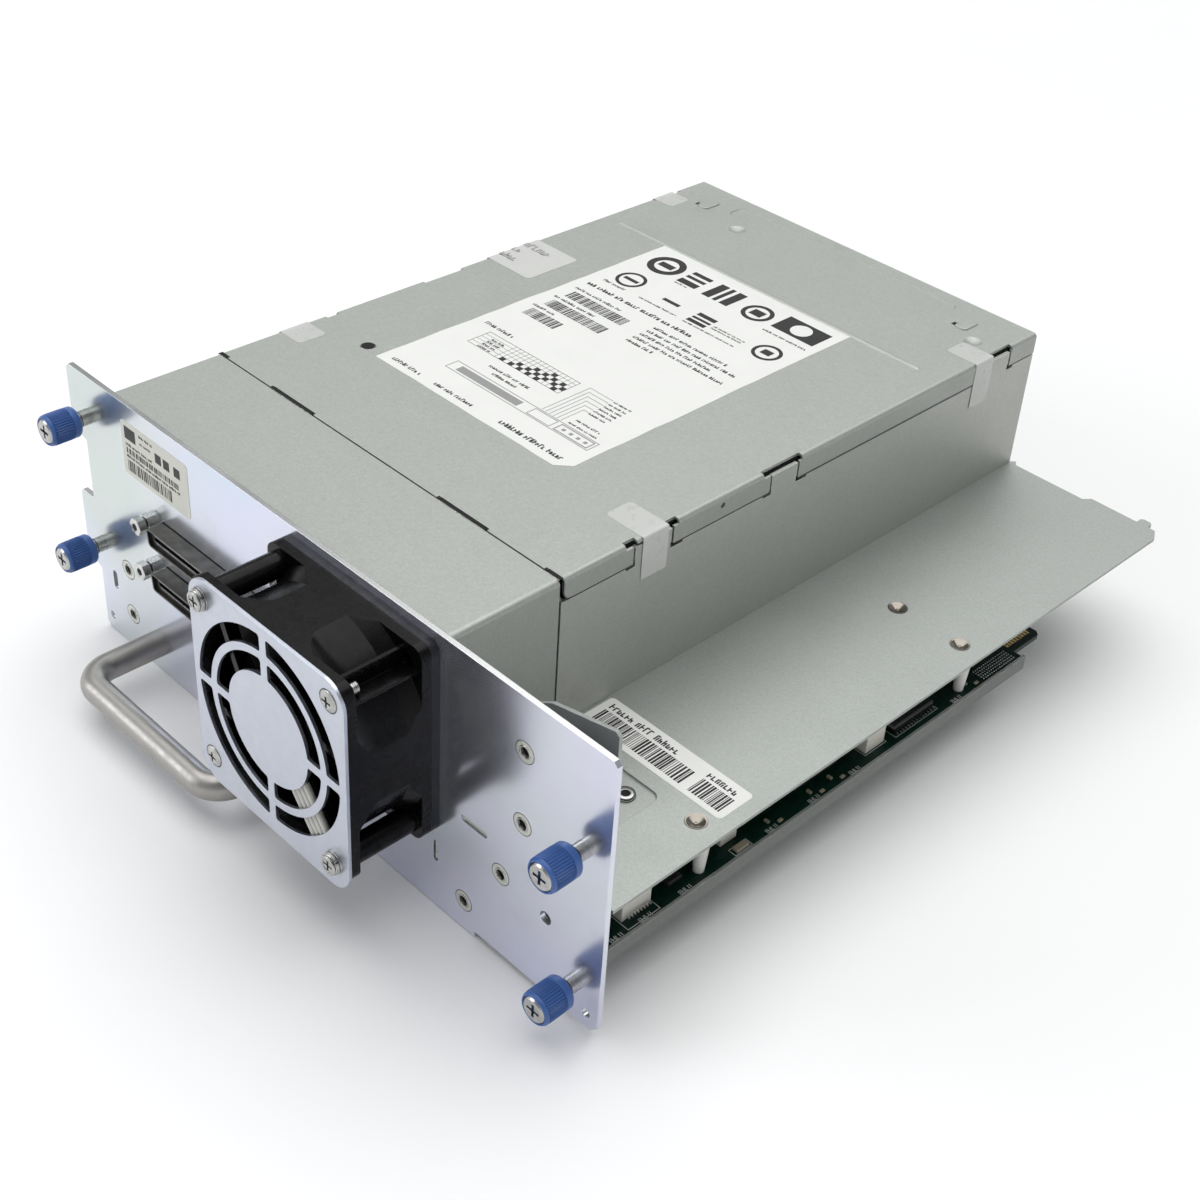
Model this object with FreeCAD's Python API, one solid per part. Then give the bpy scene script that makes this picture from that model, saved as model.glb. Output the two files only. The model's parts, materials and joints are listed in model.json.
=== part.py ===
import FreeCAD, Part
import math
import os

os.makedirs("parts", exist_ok=True)

# A tape library drive module: a full-height tape drive behind a half-rack-width, two-unit panel,
# with a cooling fan on the panel and a controller board in a wing on the drive's right side.
# Millimetres. While the pieces are built, x runs right along the panel, y runs back from the
# panel's front face and z runs up from the ground. Each piece is moved to the module's own
# origin, the middle of its underside, when it is written.

V = FreeCAD.Vector

# --- driving dimensions ---------------------------------------------------------------------
PANEL_W, PANEL_H, PANEL_T = 221.0, 88.5, 1.5
MODULE_BACK = 252.0                      # tip of the wing cover's locating tab
MODULE_FRONT = -30.5                     # front of the fan screws' heads
ORIGIN = V(PANEL_W / 2, (MODULE_BACK + MODULE_FRONT) / 2, 0)

SHEET = 1.0                              # steel sheet of the shroud, cover, wing and floor
DRIVE_L, DRIVE_R = 14.0, 160.0           # outer faces of the drive's cover
DRIVE_F, DRIVE_B = 41.0, 246.5           # front seam and cartridge end of the drive
DRIVE_TOP = 83.4
TONGUE_TOP = 80.9                        # joggled tongues that hook the shroud under the cover
APRON_X0, APRON_TOP = 16.0, 15.5         # the carrier sheet's turned-up front
CHASSIS_T = 1.2
WALL_SET = 0.1                           # the chassis walls stand almost level with the cover's lips
LIP_T = 0.8
LIP_Z, LIP_GROOVE = 76.6, 0.55           # lower edge of the folded lips and the groove below them
LIP_RUNS = ((42.0, 66.3), (81.2, 119.3), (131.4, 221.0), (233.0, 246.5))
TABS = ((67.0, 80.5), (120.0, 130.8), (221.7, 232.3))
TAB_TOP = 81.6
LIP_BACKINGS = ((43.4, 62.8), (84.0, 115.6), (234.4, 246.5))
RELIEFS = ((63.8, 67.2), (80.3, 85.0), (116.8, 120.2), (130.6, 135.3), (232.1, 235.2))
CORNER_SLOTS = ((63.5, 67.6), (78.4, 83.0), (116.5, 132.6), (220.6, 233.4))
SEAM_SLOTS = ((14.0, 18.0), (40.0, 59.0), (113.0, 132.0), (154.5, 160.0))

FAN_X, FAN_Z = 132.7, 56.1               # fan axis
FAN_SIZE, FAN_PITCH = 60.0, 50.0
ADAPTOR_T, FAN_DEPTH, GUARD_T = 2.5, 25.0, 0.9
FAN_REAR = -ADAPTOR_T
FAN_FRONT = FAN_REAR - FAN_DEPTH
GUARD_FRONT = FAN_FRONT - GUARD_T
FLANGE_T = 3.0
BORE_R, HUB_R, TIP_R = 28.4, 15.0, 27.6
BLADES = 7
LEAD_ANGLE, LEAD_SEAT = -52, 2.0         # the broad strut that carries the motor's wires
LEAD_R, LEAD_PITCH = 0.95, 2.2
STRUT_ANGLES = (-4, 115, 178)            # the thin struts
STRUT_OFFSET, STRUT_W = 9.0, 2.2         # they leave the motor base off its middle
LONG_SCREW_TIP = 3.4

HANDLE_Z, HANDLE_X1, HANDLE_X2 = 11.2, 37.0, 101.0
HANDLE_R, HANDLE_REACH, HANDLE_BEND = 4.0, 25.5, 8.0

THUMBSCREWS = ((9.0, 74.8), (9.0, 31.4), (212.5, 57.4), (212.5, 14.0))
KNOB_R, KNOB_FRONT, KNOB_REAR = 4.6, -13.2, -4.0
SLEEVE_R, SHANK_R, RUNNING = 2.3, 1.5, 0.06
NECK_R, THREAD_START, SCREW_TIP = 1.2, 3.3, 5.6    # the captive screw's neck is thinner than its thread

RECEPTACLE_X, RECEPTACLE_ZS, JACK_PITCH = 66.4, (54.4, 39.1), 57.5
SHELL_HALF_TOP, SHELL_HALF_BASE, SHELL_HALF_H = 23.2, 22.4, 2.9
SHELL_REACH, SHELL_T = 4.9, 0.5

# Pressed rings in the panel: x, z and how far back the standoff behind each one reaches.
WING_FRONT = 7.5
BOARD_FRONT = 13.0
RINGS = ((22.2, 28.9, BOARD_FRONT), (22.2, 12.7, PANEL_T), (192.3, 72.7, WING_FRONT),
         (192.4, 50.5, WING_FRONT), (185.5, 29.0, WING_FRONT), (172.2, 9.7, PANEL_T))
RING_R, RING_HOLE_R = 3.0, 1.4

WING_TOP = 35.4
WING_L, WING_R = DRIVE_R - WALL_SET, 216.3
TRAY_Z, TRAY_R, TRAY_B, TRAY_LIP = 15.2, 215.0, 181.5, 5.3
PCB_T = 1.6
PCB_TOP = TRAY_Z + TRAY_LIP
POSTS = ((210.8, 44.0), (210.8, 153.3), (186.0, 153.3))
RIVETS = ((208.3, 44.0), (208.5, 153.3), (186.0, 153.3))

BASE_Z, BASE_T = 22.0, 4.0               # the mechanism's base casting
BASE_TOP = BASE_Z + BASE_T
SUPPLY_X, SUPPLY_Y = 87.0, 169.0
TAKEUP_X, TAKEUP_Y, TAKEUP_R = 94.0, 81.0, 36.0
TAPE_W = 13.4                            # height between the flanges of reels and rollers
TAPE_Z = 30.2
ROLLERS = ((30.0, 110.0), (25.0, 98.0), (25.0, 68.0), (34.0, 54.0))
ROLLER_R, PIN_R = 4.6, 1.5
HEAD_X, HEAD_Y = 38.0, 83.0
ARM_X, ARM_Y, ARM_LENGTH, ARM_Z = 64.0, 108.0, 29.4, 48.0

CARRIAGE_X0, CARRIAGE_X1, CARRIAGE_Y0, CARRIAGE_Y1 = 33.0, 141.0, 119.0, 191.0
CARRIAGE_Z0, CARRIAGE_Z1 = 29.6, 57.0
CARRIAGE_TRAVEL, RAIL_TOP = 18.0, 37.6
MOUTH_X0, MOUTH_X1, MOUTH_Z0, MOUTH_Z1 = 33.5, 140.5, 31.0, 55.0
BEZEL_T = 3.5
DOOR_Y, DOOR_Z, DOOR_PIN_R = 240.2, 57.0, 1.2

NODES = {}


# --- building blocks ------------------------------------------------------------------------
def box(x0, x1, y0, y1, z0, z1):
    return Part.makeBox(x1 - x0, y1 - y0, z1 - z0, V(x0, y0, z0))


def rod_y(x, z, r, y0, y1):
    return Part.makeCylinder(r, y1 - y0, V(x, y0, z), V(0, 1, 0))


def rod_z(x, y, r, z0, z1):
    return Part.makeCylinder(r, z1 - z0, V(x, y, z0), V(0, 0, 1))


def rod_x(y, z, r, x0, x1):
    return Part.makeCylinder(r, x1 - x0, V(x0, y, z), V(1, 0, 0))


def plate_xz(points, y0, y1):
    """A flat plate whose outline is given in x and z, from y0 back to y1."""
    wire = Part.makePolygon([V(x, y0, z) for x, z in points] + [V(points[0][0], y0, points[0][1])])
    return Part.Face(wire).extrude(V(0, y1 - y0, 0))


def plate_xy(points, z0, z1):
    """A flat plate whose outline is given in x and y, from z0 up to z1."""
    wire = Part.makePolygon([V(x, y, z0) for x, y in points] + [V(points[0][0], points[0][1], z0)])
    return Part.Face(wire).extrude(V(0, 0, z1 - z0))


def turned(profile, x, z):
    """A turned piece about a y-wise axis through x, z. Its profile is a list of (radius, y)."""
    wire = Part.makePolygon([V(x + r, y, z) for r, y in profile + profile[:1]])
    return Part.Face(wire).revolve(V(x, 0, z), V(0, 1, 0), 360)


def turned_z(profile, x, y):
    """A turned piece about a vertical axis through x, y. Its profile is a list of (radius, z)."""
    wire = Part.makePolygon([V(x + r, y, z) for r, z in profile + profile[:1]])
    return Part.Face(wire).revolve(V(x, y, 0), V(0, 0, 1), 360)


def rounded(shape, axis, radius, keep=None):
    """Round the straight edges that run along axis; keep(point) chooses among them."""
    picked = []
    for edge in shape.Edges:
        if edge.Curve.TypeId != "Part::GeomLine":
            continue
        along = edge.Vertexes[-1].Point.sub(edge.Vertexes[0].Point)
        along.normalize()
        if abs(along.dot(axis)) > 0.999 and (keep is None or keep(edge.CenterOfMass)):
            picked.append(edge)
    return shape.makeFillet(radius, picked)


def joined(shapes):
    return shapes[0].multiFuse(shapes[1:]).removeSplitter()


def slot_y(x, z, length, width, y0, y1, upright=False):
    """A round-ended slot through a plate, along x or upright."""
    half = (length - width) / 2
    dx, dz = (0, half) if upright else (half, 0)
    block = box(x - max(dx, width / 2), x + max(dx, width / 2), y0, y1,
                z - max(dz, width / 2), z + max(dz, width / 2))
    ends = [rod_y(x + s * dx, z + s * dz, width / 2, y0, y1) for s in (-1, 1)]
    return joined([block] + ends)


def hexagon_y(x, z, across_flats, y0, y1):
    r = across_flats / math.sqrt(3)
    points = [(x + r * math.cos(math.radians(60 * i)), z + r * math.sin(math.radians(60 * i)))
              for i in range(6)]
    return plate_xz(points, y0, y1)


def keep_node(name, *shapes):
    """Record a piece, or a group of identical pieces, under its node name."""
    NODES[name] = shapes[0] if len(shapes) == 1 else Part.makeCompound(list(shapes))


# --- panel, handle and captive screws -------------------------------------------------------
def fan_corner(sx, sz):
    return FAN_X + sx * FAN_PITCH / 2, FAN_Z + sz * FAN_PITCH / 2


def receptacle_outline(z, grow, y0, y1):
    """The D-shaped section of a high-density receptacle, grown all round by grow."""
    top, base, half = SHELL_HALF_TOP + grow, SHELL_HALF_BASE + grow, SHELL_HALF_H + grow
    x = RECEPTACLE_X
    outline = [(x - base, z - half), (x + base, z - half), (x + top, z + half), (x - top, z + half)]
    return rounded(plate_xz(outline, y0, y1), V(0, 1, 0), 1.2 + grow)


def front_panel():
    outline = [(8.0, 0), (176.5, 0), (176.5, 2.0), (218.5, 2.0), (PANEL_W, 4.5), (PANEL_W, 87.3),
               (PANEL_W - 1.2, PANEL_H), (1.5, PANEL_H), (0, PANEL_H - 1.5), (0, 67.8), (6.8, 65.8),
               (6.8, 46.3), (1.0, 46.3), (0, 45.2), (0, 23.8), (6.5, 21.1), (6.5, 1.5)]
    sheet = plate_xz(outline, 0, PANEL_T)
    y0, y1 = -1, PANEL_T + 1
    holes = [rod_y(x, z, RING_R, y0, y1) for x, z, _ in RINGS]
    holes += [rod_y(x, z, SLEEVE_R, y0, y1) for x, z in THUMBSCREWS]
    holes += [rod_y(x, z, r, y0, y1) for x, z, r in ((9.8, 5.3, 1.3), (201.6, 26.8, 1.9), (216.8, 6.6, 1.4))]
    holes += [slot_y(14.0, 20.8, 6.5, 2.3, y0, y1, True), slot_y(175.5, 37.6, 9.6, 1.8, y0, y1),
              slot_y(161.2, 19.0, 7.0, 1.8, y0, y1, True)]
    holes += [rod_y(x, HANDLE_Z, 2.1, y0, y1) for x in (HANDLE_X1, HANDLE_X2)]
    holes.append(rod_y(FAN_X, FAN_Z, BORE_R, y0, y1))
    holes += [rod_y(*fan_corner(sx, sz), 1.6, y0, y1) for sx in (-1, 1) for sz in (-1, 1)]
    for z in RECEPTACLE_ZS:
        holes.append(receptacle_outline(z, 0.3, y0, y1))
        holes += [rod_y(RECEPTACLE_X + s * JACK_PITCH / 2, z, 1.3, y0, y1) for s in (-1, 1)]
    keep_node("front_panel", sheet.cut(holes))


def panel_standoffs():
    """Flush rings pressed into the panel, most with a threaded barrel behind them."""
    pieces = []
    for x, z, back in RINGS:
        profile = [(RING_HOLE_R, 0.25), (RING_HOLE_R + 0.5, 0), (RING_R, 0), (RING_R, PANEL_T)]
        if back > PANEL_T:
            profile += [(RING_R - 0.4, PANEL_T), (RING_R - 0.4, back)]
            profile += [(RING_HOLE_R, back)]
        else:
            profile += [(RING_HOLE_R, PANEL_T)]
        pieces.append(turned(profile, x, z))
    keep_node("panel_standoffs", *pieces)
    screws = []
    for x, z, back in RINGS:
        if back > PANEL_T:
            seat = back + (PCB_T if back == BOARD_FRONT else SHEET)
            screws.append(turned([(0, back - 4.5), (RING_HOLE_R, back - 4.5), (RING_HOLE_R, seat),
                                  (2.8, seat), (2.8, seat + 1.4), (2.2, seat + 2.0), (0, seat + 2.0)], x, z))
    keep_node("standoff_screws", *screws)


def handle():
    """One bent bar: two legs, two quarter bends and the grip between them."""
    legs = [rod_y(x, HANDLE_Z, HANDLE_R, -(HANDLE_REACH - HANDLE_BEND), 0) for x in (HANDLE_X1, HANDLE_X2)]
    grip = rod_x(-HANDLE_REACH, HANDLE_Z, HANDLE_R, HANDLE_X1 + HANDLE_BEND, HANDLE_X2 - HANDLE_BEND)
    bends = []
    for x, s in ((HANDLE_X1, 1), (HANDLE_X2, -1)):
        centre = V(x + s * HANDLE_BEND, -(HANDLE_REACH - HANDLE_BEND), HANDLE_Z)
        ring = Part.makeTorus(HANDLE_BEND, HANDLE_R, centre, V(0, 0, 1))
        x0, x1 = sorted((centre.x, centre.x - s * 2 * HANDLE_BEND))
        bends.append(ring.common(box(x0, x1, centre.y - 2 * HANDLE_BEND, centre.y, 0, 2 * HANDLE_Z)))
    body = joined(legs + bends + [grip])
    keep_node("handle", body.cut([rod_y(x, HANDLE_Z, 1.7, -10, 1) for x in (HANDLE_X1, HANDLE_X2)]))
    behind = PANEL_T + SHEET
    screws = [turned([(0, -9), (1.65, -9), (1.65, behind), (3.5, behind), (3.5, behind + 1.6),
                      (2.6, behind + 2.2), (0, behind + 2.2)], x, HANDLE_Z) for x in (HANDLE_X1, HANDLE_X2)]
    keep_node("handle_screws", *screws)


def cross_recess(x, z, y_front, depth, reach, width):
    """A cross cut into a screw head that faces the front."""
    arms = [box(x - reach, x + reach, y_front - 1, y_front + depth, z - width / 2, z + width / 2),
            box(x - width / 2, x + width / 2, y_front - 1, y_front + depth, z - reach, z + reach)]
    return joined(arms)


def thumbscrews():
    """Captive panel screws: a fixed sleeve, a screw through it, its knob and its keeper washer."""
    sleeve_front, collar_back = -5.7, PANEL_T + 0.7
    bore = NECK_R + RUNNING
    sleeve = [(bore, sleeve_front), (SLEEVE_R - 0.3, sleeve_front), (SLEEVE_R, sleeve_front + 0.3),
              (SLEEVE_R, PANEL_T), (SLEEVE_R + 0.8, PANEL_T), (SLEEVE_R + 0.8, collar_back),
              (bore, collar_back)]
    keep_node("thumbscrew_sleeves", *[turned(sleeve, x, z) for x, z in THUMBSCREWS])
    head_r, head_front, head_back = 3.6, -13.5, -11.6
    washer_front, washer_back = collar_back + 0.1, collar_back + 0.8
    web = -9.6
    for number, (x, z) in enumerate(THUMBSCREWS, 1):
        screw = turned([(0, head_front), (head_r - 0.5, head_front), (head_r, head_front + 0.5),
                        (head_r, head_back), (NECK_R, head_back), (NECK_R, THREAD_START),
                        (SHANK_R, THREAD_START), (SHANK_R, SCREW_TIP - 0.5), (SHANK_R - 0.5, SCREW_TIP),
                        (0, SCREW_TIP)], x, z)
        knob = turned([(head_r, KNOB_FRONT + 0.3), (head_r + 0.3, KNOB_FRONT), (KNOB_R - 0.5, KNOB_FRONT),
                       (KNOB_R, KNOB_FRONT + 0.6), (KNOB_R, KNOB_REAR - 1.6),
                       (KNOB_R - 0.5, KNOB_REAR - 0.3), (KNOB_R - 1.0, KNOB_REAR),
                       (SLEEVE_R + RUNNING, KNOB_REAR), (SLEEVE_R + RUNNING, web), (NECK_R, web),
                       (NECK_R, head_back), (head_r, head_back)], x, z)
        washer = turned([(bore, washer_front), (2.8, washer_front), (2.8, washer_back), (bore, washer_back)],
                        x, z)
        keep_node(f"thumbscrew_{number}_screw", screw.cut(cross_recess(x, z, head_front, 1.2, 2.1, 0.9)))
        keep_node(f"thumbscrew_{number}_knob", knob)
        keep_node(f"thumbscrew_{number}_washer", washer)


# --- host receptacles -----------------------------------------------------------------------
def receptacles():
    flange_half_x, flange_half_z, flange_back = 33.0, 5.4, PANEL_T + SHEET
    tongue_front, slot_half_z = -3.9, 0.8
    shells, inserts, jacks = [], [], []
    for z in RECEPTACLE_ZS:
        nose = receptacle_outline(z, 0, -SHELL_REACH, PANEL_T)
        flange = rounded(box(RECEPTACLE_X - flange_half_x, RECEPTACLE_X + flange_half_x, PANEL_T,
                             flange_back, z - flange_half_z, z + flange_half_z), V(0, 1, 0), 3.0)
        jack_xs = [RECEPTACLE_X + s * JACK_PITCH / 2 for s in (-1, 1)]
        holes = [receptacle_outline(z, -SHELL_T, -SHELL_REACH - 1, flange_back + 1)]
        holes += [rod_y(x, z, 1.3, PANEL_T - 1, flange_back + 1) for x in jack_xs]
        shells.append(joined([nose, flange]).cut(holes))
        tongue = receptacle_outline(z, -SHELL_T, tongue_front, flange_back)
        slot = box(RECEPTACLE_X - 20.5, RECEPTACLE_X + 20.5, tongue_front - 1, flange_back, z - slot_half_z,
                   z + slot_half_z)
        block = box(RECEPTACLE_X - 25.0, RECEPTACLE_X + 25.0, flange_back, BOARD_FRONT, z - 3.7, z + 3.7)
        inserts.append(joined([tongue, block]).cut(slot))
        for x in jack_xs:
            post = hexagon_y(x, z, 4.8, -5.1, 0).cut(rod_y(x, z, 1.1, -6, -1.5))
            stud = rod_y(x, z, 1.2, 0, 5.2)
            nut = hexagon_y(x, z, 4.4, flange_back, flange_back + 1.8).cut(rod_y(x, z, 1.2, 2, 5))
            jacks += [joined([post, stud]), nut]
    keep_node("receptacle_shells", *shells)
    keep_node("receptacle_inserts", *inserts)
    keep_node("receptacle_jackscrews", *jacks)
    board = box(18.0, 112.0, BOARD_FRONT, BOARD_FRONT + PCB_T, 20.0, 68.0)
    ring_x, ring_z, _ = RINGS[0]
    keep_node("receptacle_board", board.cut(rod_y(ring_x, ring_z, 1.5, BOARD_FRONT - 1, BOARD_FRONT + 3)))


# --- fan ------------------------------------------------------------------------------------
def fan_square(y0, y1, radius):
    half = FAN_SIZE / 2
    block = box(FAN_X - half, FAN_X + half, y0, y1, FAN_Z - half, FAN_Z + half)
    return rounded(block, V(0, 1, 0), radius)


def strut(angle, y0, y1, width, offset=0.0):
    """An arm from the motor base out into the frame, at an angle up from +x and offset from the middle."""
    end = math.sqrt((BORE_R + 1.0) ** 2 - offset ** 2)
    z = FAN_Z + offset
    arm = box(FAN_X + 8.0, FAN_X + end, y0, y1, z - width / 2, z + width / 2)
    arm.rotate(V(FAN_X, 0, FAN_Z), V(0, 1, 0), -angle)
    return arm


def fan_adaptor():
    ring = fan_square(FAN_REAR, 0, 3.5)
    cuts = [rod_y(FAN_X, FAN_Z, BORE_R + 0.2, FAN_REAR - 1, 1)]
    cuts += [rod_y(*fan_corner(sx, sz), 1.6, FAN_REAR - 1, 1) for sx in (-1, 1) for sz in (-1, 1)]
    keep_node("fan_adaptor", ring.cut(cuts))


def fan_duct(front_flange_back, rear_flange_front):
    """Outer form of the duct: a waist that sweeps out to the front flange and flares to the rear one."""
    flare_r, waist_r, sweep, flare = 33.2, 31.0, 6.6, 4.2
    x, waist_front, waist_back = FAN_X, front_flange_back + sweep, rear_flange_front - flare
    corners = [V(x + r, y, FAN_Z) for r, y in ((waist_r, waist_front), (waist_r, waist_back),
                                               (flare_r, rear_flange_front), (flare_r, FAN_REAR),
                                               (0, FAN_REAR), (0, FAN_FRONT), (flare_r, FAN_FRONT),
                                               (flare_r, front_flange_back))]
    hollow = V(x + waist_r + 0.4, front_flange_back + sweep * 0.55, FAN_Z)
    edges = [Part.makeLine(a, b) for a, b in zip(corners, corners[1:])]
    edges.append(Part.Arc(corners[-1], hollow, corners[0]).toShape())
    outline = Part.Face(Part.Wire(edges))
    return outline.revolve(V(FAN_X, 0, FAN_Z), V(0, 1, 0), 360)


def corner_ribs(y0, y1):
    """Pairs of thin ribs that stand on the duct either side of the two open screw corners."""
    near, far, foot, crest = 22.2, 23.3, 18.0, 27.9
    ribs = []
    for s in (-1, 1):
        for a0, a1, b0, b1 in ((near, far, foot, crest), (foot, crest, near, far)):
            x0, x1 = sorted((FAN_X + s * a0, FAN_X + s * a1))
            z0, z1 = sorted((FAN_Z + s * b0, FAN_Z + s * b1))
            ribs.append(box(x0, x1, y0, y1, z0, z1))
    return ribs


def fan_frame():
    """Square flanges joined by the duct, with two screw posts and the motor base in front."""
    front_flange_back, rear_flange_front = FAN_FRONT + FLANGE_T, FAN_REAR - FLANGE_T
    duct = fan_duct(front_flange_back, rear_flange_front)
    solid = [duct.common(fan_square(FAN_FRONT, FAN_REAR, 3.5))]
    solid += [fan_square(FAN_FRONT, front_flange_back, 3.5), fan_square(rear_flange_front, FAN_REAR, 3.5)]
    solid += [rod_y(*fan_corner(s, -s), 3.5, front_flange_back, rear_flange_front) for s in (-1, 1)]
    solid += corner_ribs(front_flange_back, rear_flange_front)
    bore = turned([(0, FAN_FRONT - 1), (29.6, FAN_FRONT - 1), (BORE_R, FAN_FRONT + 2.5),
                   (BORE_R, FAN_REAR - 2.5), (29.6, FAN_REAR + 1), (0, FAN_REAR + 1)], FAN_X, FAN_Z)
    cuts = [bore] + [rod_y(*fan_corner(sx, sz), 1.6, FAN_FRONT - 1, FAN_REAR + 1)
                     for sx in (-1, 1) for sz in (-1, 1)]
    shell = joined(solid).cut(cuts)
    base_back = FAN_FRONT + 3.2
    motor = turned([(0, FAN_FRONT + 0.6), (HUB_R - 0.8, FAN_FRONT + 0.6), (HUB_R, FAN_FRONT + 1.4),
                    (HUB_R, base_back), (4.0, base_back), (4.0, -12.0), (SHANK_R + RUNNING, -12.0),
                    (SHANK_R + RUNNING, base_back - 1.0), (0, base_back - 1.0)], FAN_X, FAN_Z)
    struts = [strut(angle, FAN_FRONT + 0.8, base_back, STRUT_W, STRUT_OFFSET) for angle in STRUT_ANGLES]
    struts.append(strut(LEAD_ANGLE, FAN_FRONT + LEAD_SEAT, base_back, 4 * LEAD_PITCH + 0.4))
    keep_node("fan_frame", joined([shell, motor] + struts))


def blade():
    """A fan blade lofted from its steep root section to its flatter tip section."""
    mid = -14.6
    sections = []
    for radius, chord, pitch, sweep, thick in ((HUB_R - 0.6, 15.0, 52.0, 0.0, 1.6),
                                               (21.5, 17.0, 42.0, 5.0, 1.2), (TIP_R, 18.5, 33.0, 10.0, 0.9)):
        along, up = chord / 2 * math.cos(math.radians(pitch)), chord / 2 * math.sin(math.radians(pitch))
        side, rise = thick / 2 * math.sin(math.radians(pitch)), thick / 2 * math.cos(math.radians(pitch))
        shift = radius * math.sin(math.radians(sweep))
        corners = [(-along - side, -up + rise), (along - side, up + rise), (along + side, up - rise),
                   (-along + side, -up - rise)]
        points = [V(FAN_X + shift + a, mid + b, FAN_Z + radius) for a, b in corners]
        sections.append(Part.makePolygon(points + points[:1]))
    return Part.makeLoft(sections, True, True)


def fan_impeller():
    hub_front, hub_back = FAN_FRONT + 3.6, -6.0
    hub = turned([(4.4, hub_front), (HUB_R - 0.2, hub_front), (HUB_R - 0.2, hub_back - 1.5),
                  (HUB_R - 1.7, hub_back), (0, hub_back), (0, hub_back - 5.5), (HUB_R - 2.2, hub_back - 5.5),
                  (HUB_R - 2.2, hub_front + 0.1), (4.4, hub_front + 0.1)], FAN_X, FAN_Z)
    shaft = rod_y(FAN_X, FAN_Z, SHANK_R, FAN_FRONT + 2.4, hub_back - 5.0)
    rim = turned([(TIP_R + 4, hub_front - 4), (TIP_R, hub_front - 4), (TIP_R, hub_back + 4),
                  (TIP_R + 4, hub_back + 4)], FAN_X, FAN_Z)
    inside = rod_y(FAN_X, FAN_Z, HUB_R - 1.4, hub_front - 4, hub_back + 4)
    one = blade().cut([rim, inside])
    blades = []
    for i in range(BLADES):
        copy = one.copy()
        copy.rotate(V(FAN_X, 0, FAN_Z), V(0, 1, 0), 360 / BLADES * i)
        blades.append(copy)
    keep_node("fan_impeller", joined([hub, shaft] + blades))


def fan_leads():
    """Four insulated wires that lie on the broad strut, from the motor base to the duct."""
    wires = []
    for step in (-1.5, -0.5, 0.5, 1.5):
        offset = step * LEAD_PITCH
        wire = rod_x(FAN_FRONT + LEAD_SEAT - LEAD_R, FAN_Z + offset, LEAD_R, FAN_X + HUB_R + 0.1,
                     FAN_X + BORE_R - 0.2)
        wire.rotate(V(FAN_X, 0, FAN_Z), V(0, 1, 0), -LEAD_ANGLE)
        wires.append(wire)
    keep_node("fan_leads", *wires)


def arc_openings(r_in, r_out, spoke):
    """Four ring-shaped openings between two radii, kept apart by an upright and a level spoke."""
    ring = rod_y(FAN_X, FAN_Z, r_out, GUARD_FRONT - 1, FAN_FRONT + 1).cut(
        rod_y(FAN_X, FAN_Z, r_in, GUARD_FRONT - 2, FAN_FRONT + 2))
    reach = r_out + 1
    bars = [box(FAN_X - reach, FAN_X + reach, GUARD_FRONT - 2, FAN_FRONT + 2, FAN_Z - spoke / 2,
                FAN_Z + spoke / 2), box(FAN_X - spoke / 2, FAN_X + spoke / 2, GUARD_FRONT - 2, FAN_FRONT + 2,
                                        FAN_Z - reach, FAN_Z + reach)]
    return rounded(ring.cut(bars), V(0, 1, 0), 0.9)


def fan_guard():
    """Stamped finger guard: a centre disc and a ring band carried on four spokes."""
    plate = box(FAN_X - 30.2, FAN_X + 30.6, GUARD_FRONT, FAN_FRONT, FAN_Z - 33.0, FAN_Z + 31.0)
    plate = rounded(plate, V(0, 1, 0), 7.0)
    cuts = [arc_openings(23.2, 28.2, 2.5), arc_openings(15.8, 21.0, 2.5)]
    cuts += [rod_y(*fan_corner(sx, sz), 1.6, GUARD_FRONT - 1, FAN_FRONT + 1) for sx in (-1, 1)
             for sz in (-1, 1)]
    keep_node("fan_guard", plate.cut(cuts))


def fan_screws():
    """Two long screws hold the fan to the panel, two short ones hold the guard to the fan."""
    washer_t, long_r, short_r = 0.5, 2.8, 3.1
    head_back = GUARD_FRONT - washer_t
    longs, washers, shorts = [], [], []
    for s in (-1, 1):
        x, z = fan_corner(s, -s)
        screw = turned([(0, MODULE_FRONT), (long_r - 0.9, MODULE_FRONT), (long_r, MODULE_FRONT + 0.8),
                        (long_r, head_back), (SHANK_R, head_back), (SHANK_R, LONG_SCREW_TIP),
                        (0, LONG_SCREW_TIP)], x, z)
        longs.append(screw.cut(cross_recess(x, z, MODULE_FRONT, 0.9, 1.7, 0.7)))
        washers.append(turned([(SHANK_R, head_back), (3.3, head_back), (3.3, GUARD_FRONT),
                               (SHANK_R, GUARD_FRONT)], x, z))
        x, z = fan_corner(s, s)
        front = GUARD_FRONT - 0.7
        screw = turned([(0, front), (short_r - 1.3, front), (short_r, GUARD_FRONT), (SHANK_R, GUARD_FRONT),
                        (SHANK_R, -21.6), (0.6, -20.6), (0, -20.6)], x, z)
        shorts.append(screw.cut(cross_recess(x, z, front, 0.6, 1.6, 0.7)))
    keep_node("fan_long_screws", *longs)
    keep_node("fan_washers", *washers)
    keep_node("fan_short_screws", *shorts)


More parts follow.
